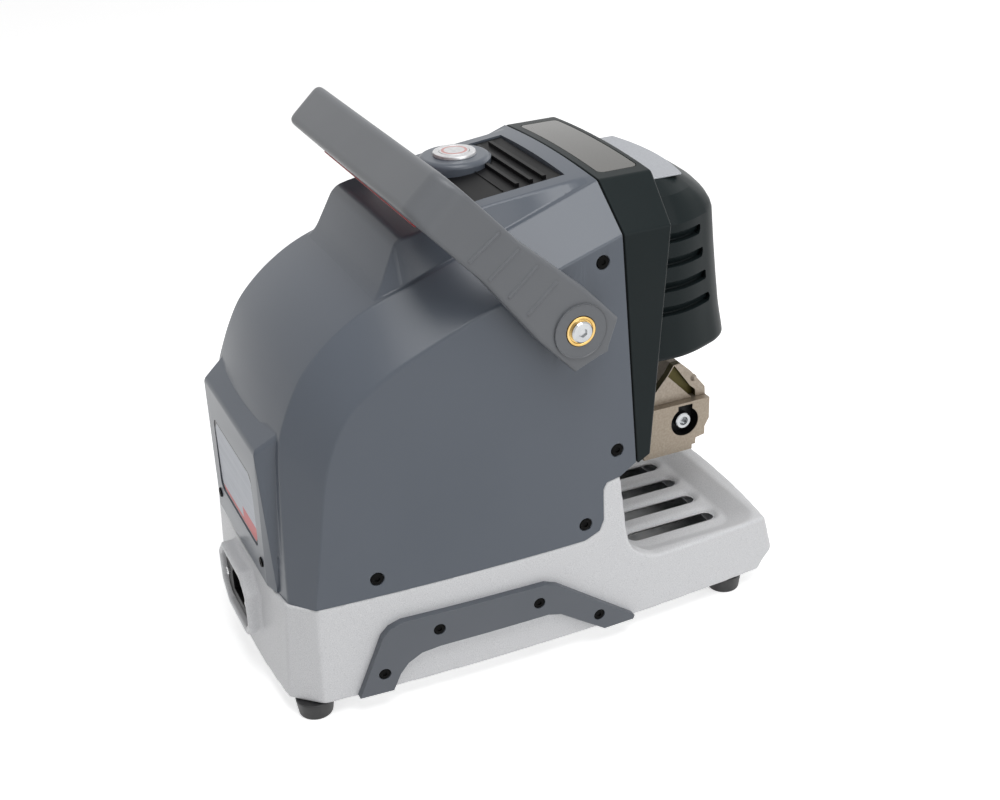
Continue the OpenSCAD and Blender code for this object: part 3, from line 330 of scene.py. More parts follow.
# ---- bottom sheet and feet
# A plated sheet closes the casting from below; four moulded rubber feet carry the machine.
def weighed(made):
    """Lets large flat faces keep their own shading beside narrow eased ones."""
    weigh = made.modifiers.new("weighed", "WEIGHTED_NORMAL")
    weigh.keep_sharp = True
    return settled(made)


def faced(made, angle):
    """Smooth shading up to an angle, with flat faces kept flat."""
    shade(made, angle)
    return weighed(made)


def eased(made, width, segments=2, edge_angle=28, smooth_angle=40):
    """Rounds a piece's edges by width millimetres."""
    bevel = made.modifiers.new("eased edges", "BEVEL")
    bevel.width = width / 1000
    bevel.segments = segments
    bevel.limit_method = "ANGLE"
    bevel.angle_limit = math.radians(edge_angle)
    return faced(settled(made), smooth_angle)


def mottled(name, dark, light, grain, roughness, drift, shine, **others):
    """A finish whose colour and gloss both drift; grain and shine are the scale and detail of their noises."""
    made = Finish(name)
    colour = made.between(made.noise(*grain), dark, light)
    made.surface(Base_Color=colour, Roughness=roughness + made.noise(*shine) * drift, **others)
    return made


sheet_zinc = Finish("plated sheet")
spangle = sheet_zinc.node("ShaderNodeTexVoronoi", Vector=sheet_zinc.place, Scale=160.0)["Distance"]
zinc = sheet_zinc.ramp(spangle, [(0.0, (0.33, 0.335, 0.34)), (0.8, (0.47, 0.475, 0.48))])
sheet_zinc.surface(Base_Color=zinc, Metallic=0.9, Roughness=0.34 + sheet_zinc.noise(60, 3) * 0.2)
foot_rubber = mottled("black rubber", (0.009, 0.009, 0.010), (0.018, 0.018, 0.019), (300,), 0.38, 0.2, (120, 3))
foot_rubber.bump(foot_rubber.noise(1500), 0.00008, 0.4)
shown(eased(copied("bottom_plate", "bottom_sheet"), 0.3, 1), sheet_zinc, "bottom_plate")
shown(eased(copied("feet", "feet_rounded"), 0.9, 3), foot_rubber, "feet")


# ---- socket screws
# Every outside screw is a socket-head screw: one turned head with an eased rim and a hexagon pressed in it.
# The same head is set at each place, square to the surface that it closes.
SIDES = (-1, 1)
SHELL_SCREWS = [(-42, 239), (-49.5, 126), (-28.7, 84), (95.4, 84.5)]
RAIL_SCREWS = [(97, 24.5), (64, 45), (3.5, 43.6), (-35, 22.7)]
FEET_AT = [(sx * 69, sy * 133) for sx in SIDES for sy in SIDES]


def wall_x(y, z):
    """Half width of the outer wall on the long sides."""
    lean = 1.1 * (z - 10.5) / 63.2 if z < 73.7 else 1.1 - 3.1 * (z - 73.7) / 208.1
    return 86.1 + lean - y * y / 3000


class Tree(Nodes):
    """A geometry tree with named inputs."""

    def __init__(self, name, **sizes):
        super().__init__(bpy.data.node_groups.new(name, "GeometryNodeTree"))
        self.ids, self.sizes = {}, sizes
        new_socket = self.tree.interface.new_socket
        for way in ("INPUT", "OUTPUT"):
            new_socket("Geometry", in_out=way, socket_type="NodeSocketGeometry")
        for socket in [*sizes, "Finish"]:
            kind = "Material" if socket == "Finish" else "Float"
            self.ids[socket] = new_socket(socket, in_out="INPUT", socket_type="NodeSocket" + kind).identifier
        self.given = self.node("NodeGroupInput")

    def point(self, x=0.0, y=0.0, z=0.0):
        return self.node("ShaderNodeCombineXYZ", X=x, Y=y, Z=z)[0]

    def moved(self, geometry, **change):
        return self.node("GeometryNodeTransform", Geometry=geometry, **change)[0]

    def facing(self):
        """The direction that was given with each point."""
        return self.node("GeometryNodeInputNamedAttribute", {"data_type": "FLOAT_VECTOR"}, Name="facing")["Attribute"]

    def repeated(self, piece, **turned):
        """Ends the tree with the piece on every point, as plain geometry with its material."""
        placed = self.node("GeometryNodeInstanceOnPoints", Points=self.given["Geometry"], Instance=piece, **turned)[0]
        real = self.node("GeometryNodeRealizeInstances", Geometry=placed)[0]
        painted = self.node("GeometryNodeSetMaterial", Geometry=real, Material=self.given["Finish"])[0]
        self.node("NodeGroupOutput", _0=painted)
        return self

    def grown(self, name, finish, points, facing, **sizes):
        """A plain mesh of what the tree makes on the points, given in metres."""
        mesh = bpy.data.meshes.new(name)
        mesh.from_pydata([tuple(point) for point in points], [], [])
        attribute = mesh.attributes.new("facing", "FLOAT_VECTOR", "POINT")
        attribute.data.foreach_set("vector", [value for one in facing for value in one])
        made = bpy.data.objects.new(name, mesh)
        bpy.context.scene.collection.objects.link(made)
        step = made.modifiers.new(name, "NODES")
        step.node_group = self.tree
        for size, value in {**self.sizes, **sizes}.items():
            step[self.ids[size]] = float(value)
        step[self.ids["Finish"]] = finish.material
        settled(made)
        form = bmesh.new()
        form.from_mesh(made.data)
        bmesh.ops.remove_doubles(form, verts=form.verts, dist=1e-7)
        bmesh.ops.recalc_face_normals(form, faces=form.faces)
        form.to_mesh(made.data)
        form.free()
        shade(made, 35)
        return made


def screw_tree():
    """Screw heads with a hexagon of the given reach and a shank, on points that face outwards."""
    tree = Tree("socket screws", Radius=0.0038, Height=0.0014, Hexagon=0.0019, Shank=0.002, Length=0.008)
    size = tree.given
    rim = size["Height"] * 0.3
    straight = size["Height"] - rim

    def cylinder(radius, depth, middle, sides):
        made = tree.node("GeometryNodeMeshCylinder", Vertices=sides, Radius=radius, Depth=depth)["Mesh"]
        return tree.moved(made, Translation=tree.point(z=middle))

    def solid(operation, **meshes):
        return tree.node("GeometryNodeMeshBoolean", {"operation": operation, "solver": "EXACT"}, **meshes)[0]

    low = cylinder(size["Radius"], straight, straight * 0.5, 32)
    cone = tree.node(
        "GeometryNodeMeshCone", Vertices=32, Radius_Bottom=size["Radius"], Radius_Top=size["Radius"] - rim, Depth=rim
    )["Mesh"]
    head = solid("UNION", Mesh_2=[low, tree.moved(cone, Translation=tree.point(z=straight))])
    head = solid("DIFFERENCE", Mesh_1=head, Mesh_2=cylinder(size["Hexagon"], size["Height"], size["Height"], 6))
    rod = cylinder(size["Shank"], size["Length"], size["Length"] * -0.5, 16)
    screw = tree.node("GeometryNodeJoinGeometry", Geometry=[head, rod])[0]
    outwards = tree.node("FunctionNodeAlignRotationToVector", {"axis": "Z"}, Vector=tree.facing())[0]
    return tree.repeated(screw, Rotation=outwards)


socket_screws = screw_tree()
black_steel = mottled(
    "blackened steel", (0.001, 0.001, 0.001), (0.003, 0.003, 0.003), (800,), 0.4, 0.15, (260,), Specular_IOR_Level=0.06
)
bright_steel = mottled(
    "bright steel", (0.56, 0.56, 0.57), (0.68, 0.68, 0.69), (90, 4), 0.2, 0.16, (220, 3), Metallic=1.0
)
BACK_SCREW_X = 42


def screws(name, finish, node, sunk, *sizes):
    """Screws at (place, direction) pairs: radius and height of the head, hexagon, radius and length of the shank."""
    places, facing = zip(*sunk)
    sizes = {size: value / 1000 for size, value in zip(socket_screws.sizes, sizes)}
    return shown(socket_screws.grown(name, finish, [place(*at) for at in places], facing, **sizes), finish, node)


def in_sides(spots, proud):
    """Places on both long sides, at so many millimetres past the wall."""
    return [((s * (wall_x(y, z) + proud), y, z), (s, 0, 0)) for y, z in spots for s in SIDES]


screws("casing_screws", black_steel, "shell_screws", in_sides(SHELL_SCREWS, -1.5), 3.7, 1.4, 1.7, 1.9, 7.8)
screws("carrying_rail_screws", black_steel, "rail_screws", in_sides(RAIL_SCREWS, 2.9), 3.3, 1.2, 1.5, 1.9, 8.8)
in_feet = [((x, y, 4), (0, 0, -1)) for x, y in FEET_AT]
in_sheet = [((s * 74, 0, 10.5), (0, 0, -1)) for s in SIDES]
in_back = [((s * BACK_SCREW_X, 146.7, 87), (0, 1, 0)) for s in SIDES]
screws("foot_screw_heads", bright_steel, "foot_screws", in_feet, 3.7, 2.6, 1.8, 1.9, 14.8)
screws("sheet_screws", black_steel, "plate_screws", in_sheet, 3.7, 2.6, 1.8, 1.9, 7.8)
screws("back_screws", black_steel, "label_screws", in_back, 2.8, 1.0, 1.3, 1.9, 3.4)


# ---- side rails
# Two arched carrying rails, moulded in dark blue-grey plastic and screwed to the casting's sides.
def satin(name, dark, light, roughness, grain=0.00004, gloss=0.5, drift=0.08):
    """Moulded satin plastic: slight cloudiness in its colour and gloss, with a fine spark-eroded grain."""
    finish = Finish(name)
    rough = roughness + (finish.noise(40, 3) - 0.5) * drift if drift else roughness
    cloudy = finish.between(finish.noise(9, 3), dark, light)
    finish.surface(Base_Color=cloudy, Roughness=rough, Specular_IOR_Level=gloss)
    if grain:
        finish.bump(finish.noise(2600), grain, 0.35)
    return finish


rail_plastic = satin("rail plastic", (0.080, 0.091, 0.108), (0.094, 0.104, 0.122), 0.38)
for side in ("left", "right"):
    shown(eased(copied(f"side_rail_{side}", f"rail_{side}"), 1.2, 3), rail_plastic, f"side_rail_{side}")


# ---- main casing
# A blue-grey moulded cover: flat sides, a wide bevel along each shoulder that runs round into the back,
# a raised deck that ends in a hump, and a block on the back for the label. Screwed on from the sides.
SEAM_Z = 73.7
# Heights along the machine of the fold below the shoulder, of the ridge above it and of the deck.
FOLD = [(-53.6, 251.8), (-17.3, 240.8), (16, 228.6), (49.4, 215.3), (78.9, 201.5), (99.9, 186.9), (109, 173.5),
        (116, 155.4), (120.9, 130.7), (122.8, 118.3), (129.7, 76), (130.1, 73.7)]
RIDGE = [(-52.4, 274.4), (0, 256.25), (50, 238.94), (81.6, 228), (97.5, 218.8), (109.5, 209), (118.5, 199),
         (125, 187.5), (130, 176), (134, 164), (136.9, 140), (139.5, 107), (141.5, 73.7)]
DECK = [(-52.4, 274.8), (8, 268.6), (58.7, 259.2), (72.4, 231.2), (92, 220)]
FOOT = [(-52.3, -61.5, 115), (-49, -51.5, 109), (-44, -42.5, 107.5), (-41, -40.2, 103.6), (-38.5, -40.2, 84),
        (-35, -37.5, 77.5), (-28, -28, SEAM_Z), (78, 78, SEAM_Z)]  # the lower edge, against the station
RIDGE_X, DECK_X, DECK_CROWN = 58.0, 50.0, 1.9
FAN_FROM, SEAM_AT = 78.0, -52.3
SHARP = 33  # degrees between two faces of a moulding that still share their shading
WALL = 3.0  # thickness of the casing and of the frame
TOOL_PAST = 16  # how far the tool that hollows the casing runs past its open edges
BOLT_R = 4.06  # bore for the bail's bolts
LABEL_Z = 116  # middle of the label


def curved(points, count=400):
    """A smooth curve through the points, as dense points with their length along it."""
    points = np.array(points, float)
    ends = np.vstack([2 * points[0] - points[1], points, 2 * points[-1] - points[-2]])
    knots = np.concatenate([[0], np.cumsum(np.sqrt(np.linalg.norm(np.diff(ends, axis=0), axis=1)))])
    out = []
    for i in range(1, len(ends) - 2):
        for t in np.linspace(knots[i], knots[i + 1], max(count // len(points), 4), endpoint=i == len(ends) - 3):
            near, at = ends[i - 1 : i + 3], knots[i - 1 : i + 3]
            for low, high in ((at[:3], at[1:]), (at[:2], at[2:]), (at[1:2], at[2:3])):  # to 3 points, 2 and 1
                share = ((t - low) / (high - low))[:, None]
                near = (1 - share) * near[:-1] + share * near[1:]
            out.append(near[0])
    out = np.array(out)
    return out, np.concatenate([[0], np.cumsum(np.linalg.norm(np.diff(out, axis=0), axis=1))])


def between(at, table):
    """What a table gives at a place, between its rows."""
    first, *others = zip(*table)
    return [float(np.interp(at, first, other)) for other in others]


def rounded(corners, steps=5):
    """A polyline whose corners, given as (point, ease), are rounded over that setback; its ends stay."""
    points = [np.array(point, float) for point, _ in corners]
    out = []
    for i, (point, ease) in enumerate(zip(points, [ease for _, ease in corners])):
        if not ease or i in (0, len(points) - 1):
            out.append(point)
            continue
        before, after = points[i - 1] - point, points[i + 1] - point
        reach_a, reach_b = np.linalg.norm(before), np.linalg.norm(after)
        back = min(ease, 0.47 * reach_a, 0.47 * reach_b)
        first = point + before * (back / max(reach_a, 1e-9))
        last = point + after * (back / max(reach_b, 1e-9))
        for t in np.linspace(0, 1, steps + 1):
            out.append((1 - t) ** 2 * first + 2 * t * (1 - t) * point + t * t * last)
    return out


def lofted(name, rows, closed=False):
    """A skin over rows of equally many points in millimetres, with flat ends."""
    form = bmesh.new()
    grid = [[form.verts.new(place(*point)) for point in row] for row in rows]
    count = len(rows[0])
    for near, far in zip(grid, grid[1:]):
        for k in range(count if closed else count - 1):
            form.faces.new((near[k], near[(k + 1) % count], far[(k + 1) % count], far[k]))
    if not closed:  # the open side is closed straight across
        for near, far in zip(grid, grid[1:]):
            form.faces.new((near[-1], near[0], far[0], far[-1]))
    form.faces.new(grid[0][::-1])
    form.faces.new(grid[-1])
    bmesh.ops.remove_doubles(form, verts=form.verts, dist=3e-6)
    return from_bmesh(name, form)


def cut(made, *tools, operation="DIFFERENCE"):
    """Cuts the tools from the piece, one after the other, and uses them up."""
    for tool in tools:
        step = made.modifiers.new("cut", "BOOLEAN")
        step.operation, step.solver, step.object = operation, "EXACT", tool
        settled(made)
        bpy.data.objects.remove(tool)
    return made


def joined(made, *tools):
    return cut(made, *tools, operation="UNION")


fold_curve, fold_run = curved(FOLD)
ridge_curve, ridge_run = curved(RIDGE)
deck_line = np.array(rounded([(point, ease) for point, ease in zip(DECK, (0, 0, 5, 9, 0))], 8))


def seam_y(z):
    return -61.5 + (z - 115) * 0.05766


def on(curve, y):
    """The height of a curve at a place along the machine."""
    return float(np.interp(y, curve[:, 0], curve[:, 1]))


def at_run(curve, runs, run):
    """The point of a curve that lies a length along it."""
    return np.array([np.interp(run, runs, curve[:, k]) for k in (0, 1)])


def station(at, inset=0.0):
    """Right half of one section, from the lower edge to the middle.

    Its place is along the machine, or 100 + 0...1 round the back.
    """
    fanned = max(at - 100, 0.0)
    if at < FAN_FROM:
        blend = (at - SEAM_AT) / (FAN_FROM - SEAM_AT)
        fold_y = at + (seam_y(on(fold_curve, at)) - SEAM_AT) * (1 - blend)
        fold = (fold_y, on(fold_curve, fold_y))
        ridge = (at, on(ridge_curve, at))
        foot = between(at, FOOT)
        out = np.array((0.33 * blend, 1 - 0.06 * blend))
    else:
        lines = (fold_curve, fold_run), (ridge_curve, ridge_run)
        starts = [np.interp(FAN_FROM, line[:, 0], runs) for line, runs in lines]
        run_f, run_r = (start + (runs[-1] - start) * fanned for start, (_, runs) in zip(starts, lines))
        fold, ridge = at_run(fold_curve, fold_run, run_f), at_run(ridge_curve, ridge_run, run_r)
        step = at_run(ridge_curve, ridge_run, run_r + 1) - at_run(ridge_curve, ridge_run, run_r - 1)
        out = np.array((-step[1], step[0])) / math.hypot(*step)
        foot = (FAN_FROM + (fold_curve[-1, 0] - FAN_FROM) * fanned, SEAM_Z)
        blend = 1.0
    crown = 2.0 + 3.0 * fanned
    ridge_x = RIDGE_X + 10 * max(0.0, (fanned - 0.45) / 0.55)
    if inset:
        fold = (fold[0] - 0.3 * inset * out[0], fold[1] - 0.5 * inset * out[1])
        ridge = (ridge[0] - inset * out[0], ridge[1] - inset * out[1])
        foot = (foot[0], SEAM_Z - TOOL_PAST)

    def roof(x):
        rise = crown * (1 - (x / ridge_x) ** 2)
        return np.array((x, ridge[0] + out[0] * rise, ridge[1] + out[1] * rise))

    deck_x = between(at, ((50, DECK_X), (58.7, DECK_X - 1), (73, DECK_X + 3)))[0] - inset
    deck_z = on(deck_line, at) - inset if at < 92 else -1e3

    def deck(x):
        flat = roof(x)
        if at < FAN_FROM:
            flat[2] = max(flat[2], deck_z + DECK_CROWN * (1 - (x / deck_x) ** 2))
        return flat

    wall = [(wall_x(y, z) - inset, y, z) for y, z in np.linspace(foot, fold, 7)]
    soft = max(0.0, (at - 20) / 60) if at < FAN_FROM else 1 + fanned * 0.5
    corners = [(point, 0) for point in wall[:-1]] + [(wall[-1], 1.1 + 0.8 * blend)]
    corners += [((ridge_x - 0.4 * inset, *ridge), 1.3 + 9.5 * min(soft, 1.4))]
    corners += [(roof(ridge_x - 2.4 - 0.8 * inset), 2.5), (deck(deck_x), 1.6)]
    corners += [(deck(deck_x * k), 0) for k in (0.8, 0.6, 0.4, 0.2, 0.0)]
    return rounded(corners)


def both_halves(row):
    return row + [point * np.array((-1, 1, 1)) for point in row[-2::-1]]


hump = {float(y) for y in deck_line[:, 0] if 50 < y < FAN_FROM}
marks = sorted({f[0] for f in FOOT[:-1]} | set(np.linspace(SEAM_AT, 50, 24)) | hump | set(np.linspace(52, 77, 12)))
marks += [100 + t for t in np.linspace(0, 1, 46)]
outer_rows = [both_halves(station(at)) for at in marks]
inner_rows = [both_halves(station(at, WALL)) for at in marks]
inner_rows = [[point + np.array((0, -TOOL_PAST, 0)) for point in inner_rows[0]]] + inner_rows
inner_rows += [[np.array((point[0], point[1], SEAM_Z - TOOL_PAST)) for point in inner_rows[-1]]]
casing = lofted("casing", outer_rows)


def hulled(name, points, ease=0.0, segments=3):
    """The plain solid round some points, with its edges eased."""
    form = bmesh.new()
    for point in points:
        form.verts.new(place(*point))
    bmesh.ops.convex_hull(form, input=form.verts)
    bmesh.ops.delete(form, geom=[v for v in form.verts if not v.link_faces], context="VERTS")
    bmesh.ops.dissolve_limit(form, angle_limit=math.radians(1), verts=form.verts, edges=form.edges)
    made = from_bmesh(name, form)
    return eased(made, ease, segments, 20) if ease else made


def on_circle(axis, along, centre, radius, turn):
    """A point of a circle round an axis; centre gives the other two coordinates in order."""
    p, q = centre[0] + radius * math.cos(turn), centre[1] + radius * math.sin(turn)
    return {"x": (along, p, q), "y": (p, along, q), "z": (p, q, along)}[axis]


def round_bar(name, axis, start, stop, centre, radius, sides=48, ease=0.0):
    """A cylinder along one axis between two planes."""
    ends = [(start, radius), (stop, radius)]
    if ease:
        ends = [(start, radius - ease), (start + ease, radius), (stop - ease, radius), (stop, radius - ease)]
    turns = np.linspace(0, math.tau, sides, endpoint=False)
    return lofted(name, [[on_circle(axis, at, centre, r, turn) for turn in turns] for at, r in ends], closed=True)


def turned(name, profile, centre, axis="z", sides=64):
    """A solid of revolution from (radius, along) pairs, which start and end on the axis or at the same point."""
    form = bmesh.new()
    turns = np.linspace(0, math.tau, sides, endpoint=False)
    grid = [[form.verts.new(place(*on_circle(axis, at, centre, r, turn))) for r, at in profile] for turn in turns]
    for near, far in zip(grid, grid[1:] + grid[:1]):
        for k in range(len(profile) - 1):
            form.faces.new((near[k], near[k + 1], far[k + 1], far[k]))
    bmesh.ops.remove_doubles(form, verts=form.verts, dist=3e-6)
    return from_bmesh(name, form)


def box(name, low, high, ease=0.0):
    return hulled(name, list(itertools.product(*zip(low, high))), ease)


def slab(name, outline, top, bottom):
    """An upright slab over an outline in plan."""
    return lofted(name, [[(x, y, z) for x, y in outline] for z in (bottom, top)], closed=True)


PIVOT = (-19.7, 211.7)
BUTTON, BOSS_R = (20.0, -4.0), 20.5
BOSS_TOP = 275.1
BOSS_FACE = 88.4  # of the round bosses that the bail turns on
LABEL_FACE = 146.6


def label_block(name, inset):
    half = [(48, 147.0, SEAM_Z), (50.5, 145.9, 159.0), (57.5, 126, 173.0), (57.6, 143.8, SEAM_Z)]
    half += [(50, 100, SEAM_Z), (50, 100, 150)]
    points = [(s * (x - inset), y - inset, z) for s in SIDES for x, y, z in half]
    if inset:
        points = [(x, y, z - inset if z > SEAM_Z else z - TOOL_PAST) for x, y, z in points]
    return hulled(name, points, 0 if inset else 2.2, 4)


soft_rim = [(BOSS_R - 3 + 3 * math.cos(a), BOSS_TOP - 3 + 3 * math.sin(a)) for a in np.linspace(0.25, math.pi / 2, 6)]
boss_profile = [(0, 250), (BOSS_R + 1.2, 250), (BOSS_R + 0.5, 268), (BOSS_R, BOSS_TOP - 3), *soft_rim, (0, BOSS_TOP)]
joined(casing, label_block("label_block", 0), turned("boss", boss_profile, BUTTON))
joined(casing, *[round_bar("pivot_boss", "x", s * 78, s * BOSS_FACE, PIVOT, 15.0, ease=0.6) for s in SIDES])
cut(casing, lofted("hollow", inner_rows), label_block("label_hollow", WALL))
round_boss = np.radians(np.linspace(47.1, -227.1, 40))
vent = [(-41, -42), (41, -42), (41, 11.0)]
vent += [(BUTTON[0] + BOSS_R * math.cos(a), BUTTON[1] + BOSS_R * math.sin(a)) for a in round_boss]
vent += [(-41, 11.0)]
cut(casing, slab("vent_hole", vent, 300, 240))
cut(casing, round_bar("button_hole", "z", 240, 300, BUTTON, 11.1))
RECESS_Y = LABEL_FACE - 1.4


def label_outline(grow):
    """Outline of the label in x and z, with rounded corners."""
    w, h, r = 38 + grow, 23 + grow, 5 + grow
    return [(cx * (w - r) + r * math.cos(a), LABEL_Z + cz * (h - r) + r * math.sin(a))
            for cx, cz, a0 in ((1, 1, 0), (-1, 1, 90), (-1, -1, 180), (1, -1, 270))
            for a in np.radians(np.linspace(a0, a0 + 90, 7))]


cut(casing, lofted("label_recess", [[(x, y, z) for x, z in label_outline(0)] for y in (RECESS_Y, 156)], closed=True))
screw_seats = in_sides(SHELL_SCREWS, -1.5)
pockets = [round_bar("pocket", "x", spot[0], side[0] * 95, spot[1:], 4.2, 32) for spot, side in screw_seats]
pockets += [round_bar("back_pocket", "y", RECESS_Y + 0.8, 156, (s * BACK_SCREW_X, 87), 3.1, 32) for s in SIDES]
pockets += [round_bar("pivot_bore", "x", s * 60, s * 95, PIVOT, BOLT_R, 32) for s in SIDES]
cut(casing, *pockets)
casing_plastic = satin("casing plastic", (0.088, 0.103, 0.127), (0.098, 0.113, 0.138), 0.29, 0, gloss=0.4, drift=0)
shown(faced(casing, SHARP), casing_plastic, "main_shell")


# ---- gasket and front frame
# A thin black gasket lies in the seam between the casing and the frame.
# The frame is a dark green-grey moulded arch, with the same section as the casing and a window in front.
FRAME_FOLD_Z, FRAME_LOW_Z = 251.8, 114.4
GASKET, FRAME_CROWN = 1.2, 2.2
TIP_Z, TIP_RISE, TIP_BACK = 118, 3.6, 7.1  # the front edge runs back to a tip below this height


def frame_y(z):
    """The frame's leaning front edge."""
    return -85.5 + (274 - z) * 0.0929


def arch(along, inset=0.0, low=FRAME_LOW_Z):
    """The section that casing and frame share, at the place along the machine that along gives for a height."""
    top = RIDGE[0][1] - inset
    heights = [low, *np.linspace(low + TIP_RISE, FRAME_FOLD_Z - 0.4 * inset, 6)]
    wall = [(wall_x(seam_y(z), z) - inset, z) for z in heights]
    corners = [(spot, 0) for spot in wall[:-1]] + [(wall[-1], 1.2), ((RIDGE_X - 0.4 * inset, top), 1.5)]
    corners += [((x, top + FRAME_CROWN * (1 - (x / RIDGE_X) ** 2)), 0) for x in (46, 38, 30, 20, 10, 0)]
    return both_halves(rounded([((x, along(z), z), ease) for (x, z), ease in corners], 4))


def ahead(distance):
    return lambda z: seam_y(z) - distance


def front_edge(distance):
    """Behind the frame's front edge, which runs back to a tip at the foot."""
    def along(z):
        tip = TIP_BACK * min(1, max(0, (TIP_Z - z) / TIP_RISE))
        return min(frame_y(z) + distance + tip, seam_y(z) - GASKET - 0.6 - 0.2 * (1.5 - distance))

    return along


def arch_solid(name, inset, first, last, low=FRAME_LOW_Z):
    return lofted(name, [arch(first, inset, low), arch(last, inset, low)])


gasket = cut(
    arch_solid("gasket", 0.8, ahead(0.02), ahead(GASKET - 0.02), TIP_Z),
    arch_solid("gasket_hole", WALL, ahead(-2), ahead(4), 100),
)
gasket_black = mottled(
    "gasket foam", (0.002, 0.002, 0.002), (0.006, 0.006, 0.006), (900,), 0.6, 0.3, (500,), Specular_IOR_Level=0.1
)
shown(gasket, gasket_black, "shell_gasket")


def window(along):
    """The opening behind the hood: the section drawn in on all sides."""
    points = [(0.66 * x, z - 0.067 * (z - FRAME_LOW_Z)) for x, _, z in arch(along)]
    return [np.array((x, along(z), z)) for x, z in points]


front_rows = [arch(ahead(GASKET), 0.35), arch(ahead(GASKET + 0.4), 0)]
front_rows += [arch(front_edge(back), inset) for back, inset in ((1.5, 0), (0.7, 0.2), (0.2, 0.7), (0, 1.4))]
front_rows += [window(front_edge(0)), window(front_edge(2.6)), arch(front_edge(2.6), WALL), arch(ahead(GASKET), WALL)]
front = lofted("frame_arch", list(zip(*front_rows)))


def roof_layer(name, inset, top, bottom, radius):
    """A layer with rounded corners that follows the frame's crowned roof, between two depths."""
    reach, near, far = 50 - inset, -82.2 + inset, -57.6 - inset
    rows = []
    ends = [reach - radius * (1 - math.cos(a)) for a in np.linspace(math.pi / 2, 0, 7)]
    for x in [*(-end for end in ends[::-1]), *np.linspace(-40, 40, 17), *ends]:
        deep = max(0.0, abs(x) - reach + radius)
        back = radius - math.sqrt(max(radius**2 - deep**2, 0.0025))
        z = RIDGE[0][1] + FRAME_CROWN * (1 - (x / RIDGE_X) ** 2)
        front, rear = near + back, far - back
        rows.append([(x, front, z - top), (x, rear, z - top), (x, rear, z - bottom), (x, front, z - bottom)])
    return lofted(name, rows, closed=True)


cut(front, roof_layer("panel_recess", 0, -4, 1.2, 4.0))
frame_plastic = satin("frame plastic", (0.0075, 0.0125, 0.0135), (0.0105, 0.0155, 0.0165), 0.38, 0, gloss=0.12)
shown(faced(front, SHARP), frame_plastic, "front_frame")


# ---- smoked panel
# A smoked bronze cover lies flush in the frame's roof, over a dark joint.
smoked_cover = mottled(
    "smoked cover", (0.067, 0.065, 0.058), (0.081, 0.078, 0.070), (12, 3), 0.2, 0.06, (30, 3), Coat_Weight=0.25
)
panel = roof_layer("smoked_cover", 0.5, 0.08, 1.0, 3.5)
shown(faced(panel, SHARP), smoked_cover, "smoked_panel")


# ---- hood
# The head's hood: sides that draw in towards a full nose, a soft shoulder under a sloping facet,
# four louvres pressed into each side, and a satin silver plate on top.
# The right half in plan, then its half width and its reach to the front at each height.
HOOD_PLAN = [(60.6, -60), (61.2, -80), (61.8, -96), (61.8, -105), (59.6, -115), (55.6, -125.5), (51.2, -134.6),
             (45, -141.4), (32, -146.8), (16, -150.7), (0, -152)]
HOOD_HEIGHTS = [
    (160.2, 60, 149.8), (160.35, 60.6, 150.4), (160.7, 61.15, 151), (161.2, 61.55, 151.45), (161.9, 61.85, 151.8),
    (162.8, 62, 152), (163.6, 62, 152), (168, 61.5, 151.3), (174, 60.8, 150.2), (182, 60.2, 148.8),
    (200, 59.6, 146.5), (220, 59.2, 144.2), (240.7, 59, 142.1), (244.2, 57.4, 141.2), (248.4, 55.5, 138.6),
    (252, 53.8, 134.8), (255.4, 52, 130), (261.3, 41.4, 121.2),
]
HOOD_HALF, HOOD_REACH, HOOD_MID = 62, 152, -94
LOUVRES = [(190.0, -128.5), (204.4, -125.5), (218.8, -122.5), (233.2, -120.0)]  # middle height, front end
LOUVRE_HALF = 2.9
hood_plan, _ = curved(HOOD_PLAN, 110)
hood_plan = hood_plan[np.concatenate([[True], np.linalg.norm(np.diff(hood_plan, axis=0), axis=1) > 1e-6])]


def hood_row(z, inset=0.0, rear=None):
    """Right half of the hood's outline at a height."""
    half, reach = between(z, HOOD_HEIGHTS)
    rear = frame_y(z) - 0.15 if rear is None else rear
    row = []
    for x, y in hood_plan:
        if y > HOOD_MID:  # the straight part behind runs to the frame
            y = rear + (y - HOOD_PLAN[0][1]) / (HOOD_MID - HOOD_PLAN[0][1]) * (HOOD_MID - rear)
            row.append((x * half / HOOD_HALF - inset, y, z))
        else:
            deep = (y - HOOD_MID) * (reach + HOOD_MID) / (HOOD_REACH + HOOD_MID)
            row.append((x * (half - inset) / HOOD_HALF, HOOD_MID + deep * (1 - inset / (reach + HOOD_MID)), z))
    return [np.array(point) for point in row]


hood = lofted("hood_outer", [both_halves(hood_row(h[0])) for h in HOOD_HEIGHTS])
low_z = HOOD_HEIGHTS[0][0]
hollow_heights = [low_z - 6] + [h[0] for h in HOOD_HEIGHTS[5:-1]] + [258.8]
hollow_rows = []
for z in hollow_heights:
    behind_louvres = 1 - 0.054 * np.interp(z, (174, 182, 241, 246), (0, 1, 1, 0))  # thicker sides there
    row = both_halves(hood_row(max(z, low_z + 2), 2.5, -60))
    hollow_rows.append([(x * behind_louvres, y, z) for x, y, _ in row])
cut(hood, lofted("hood_hollow", hollow_rows))


def louvre(side, z, front_end):
    """One louvre's pocket: shallow at its upper edge, deep at its lower one, with a rounded front end."""
    rows = []
    for height, depth, back in ((-1, 4.2, 1.2), (-0.75, 4.3, 0.35), (0, 3.2, 0), (0.8, 2.3, 0.3), (1, 2.0, 1.2)):
        at = z + height * LOUVRE_HALF
        line = [point for point in hood_row(at) if point[1] > front_end + back]
        picks = np.linspace(0, len(line) - 1, 24)
        line = list(zip(*(np.interp(picks, range(len(line)), column) for column in zip(*line))))
        inner = [(side * (x - depth), y, z) for x, y, z in line]
        rows.append(inner + [(side * (x + 4), y, z) for x, y, z in line[::-1]])
    return lofted("louvre", rows, closed=True)


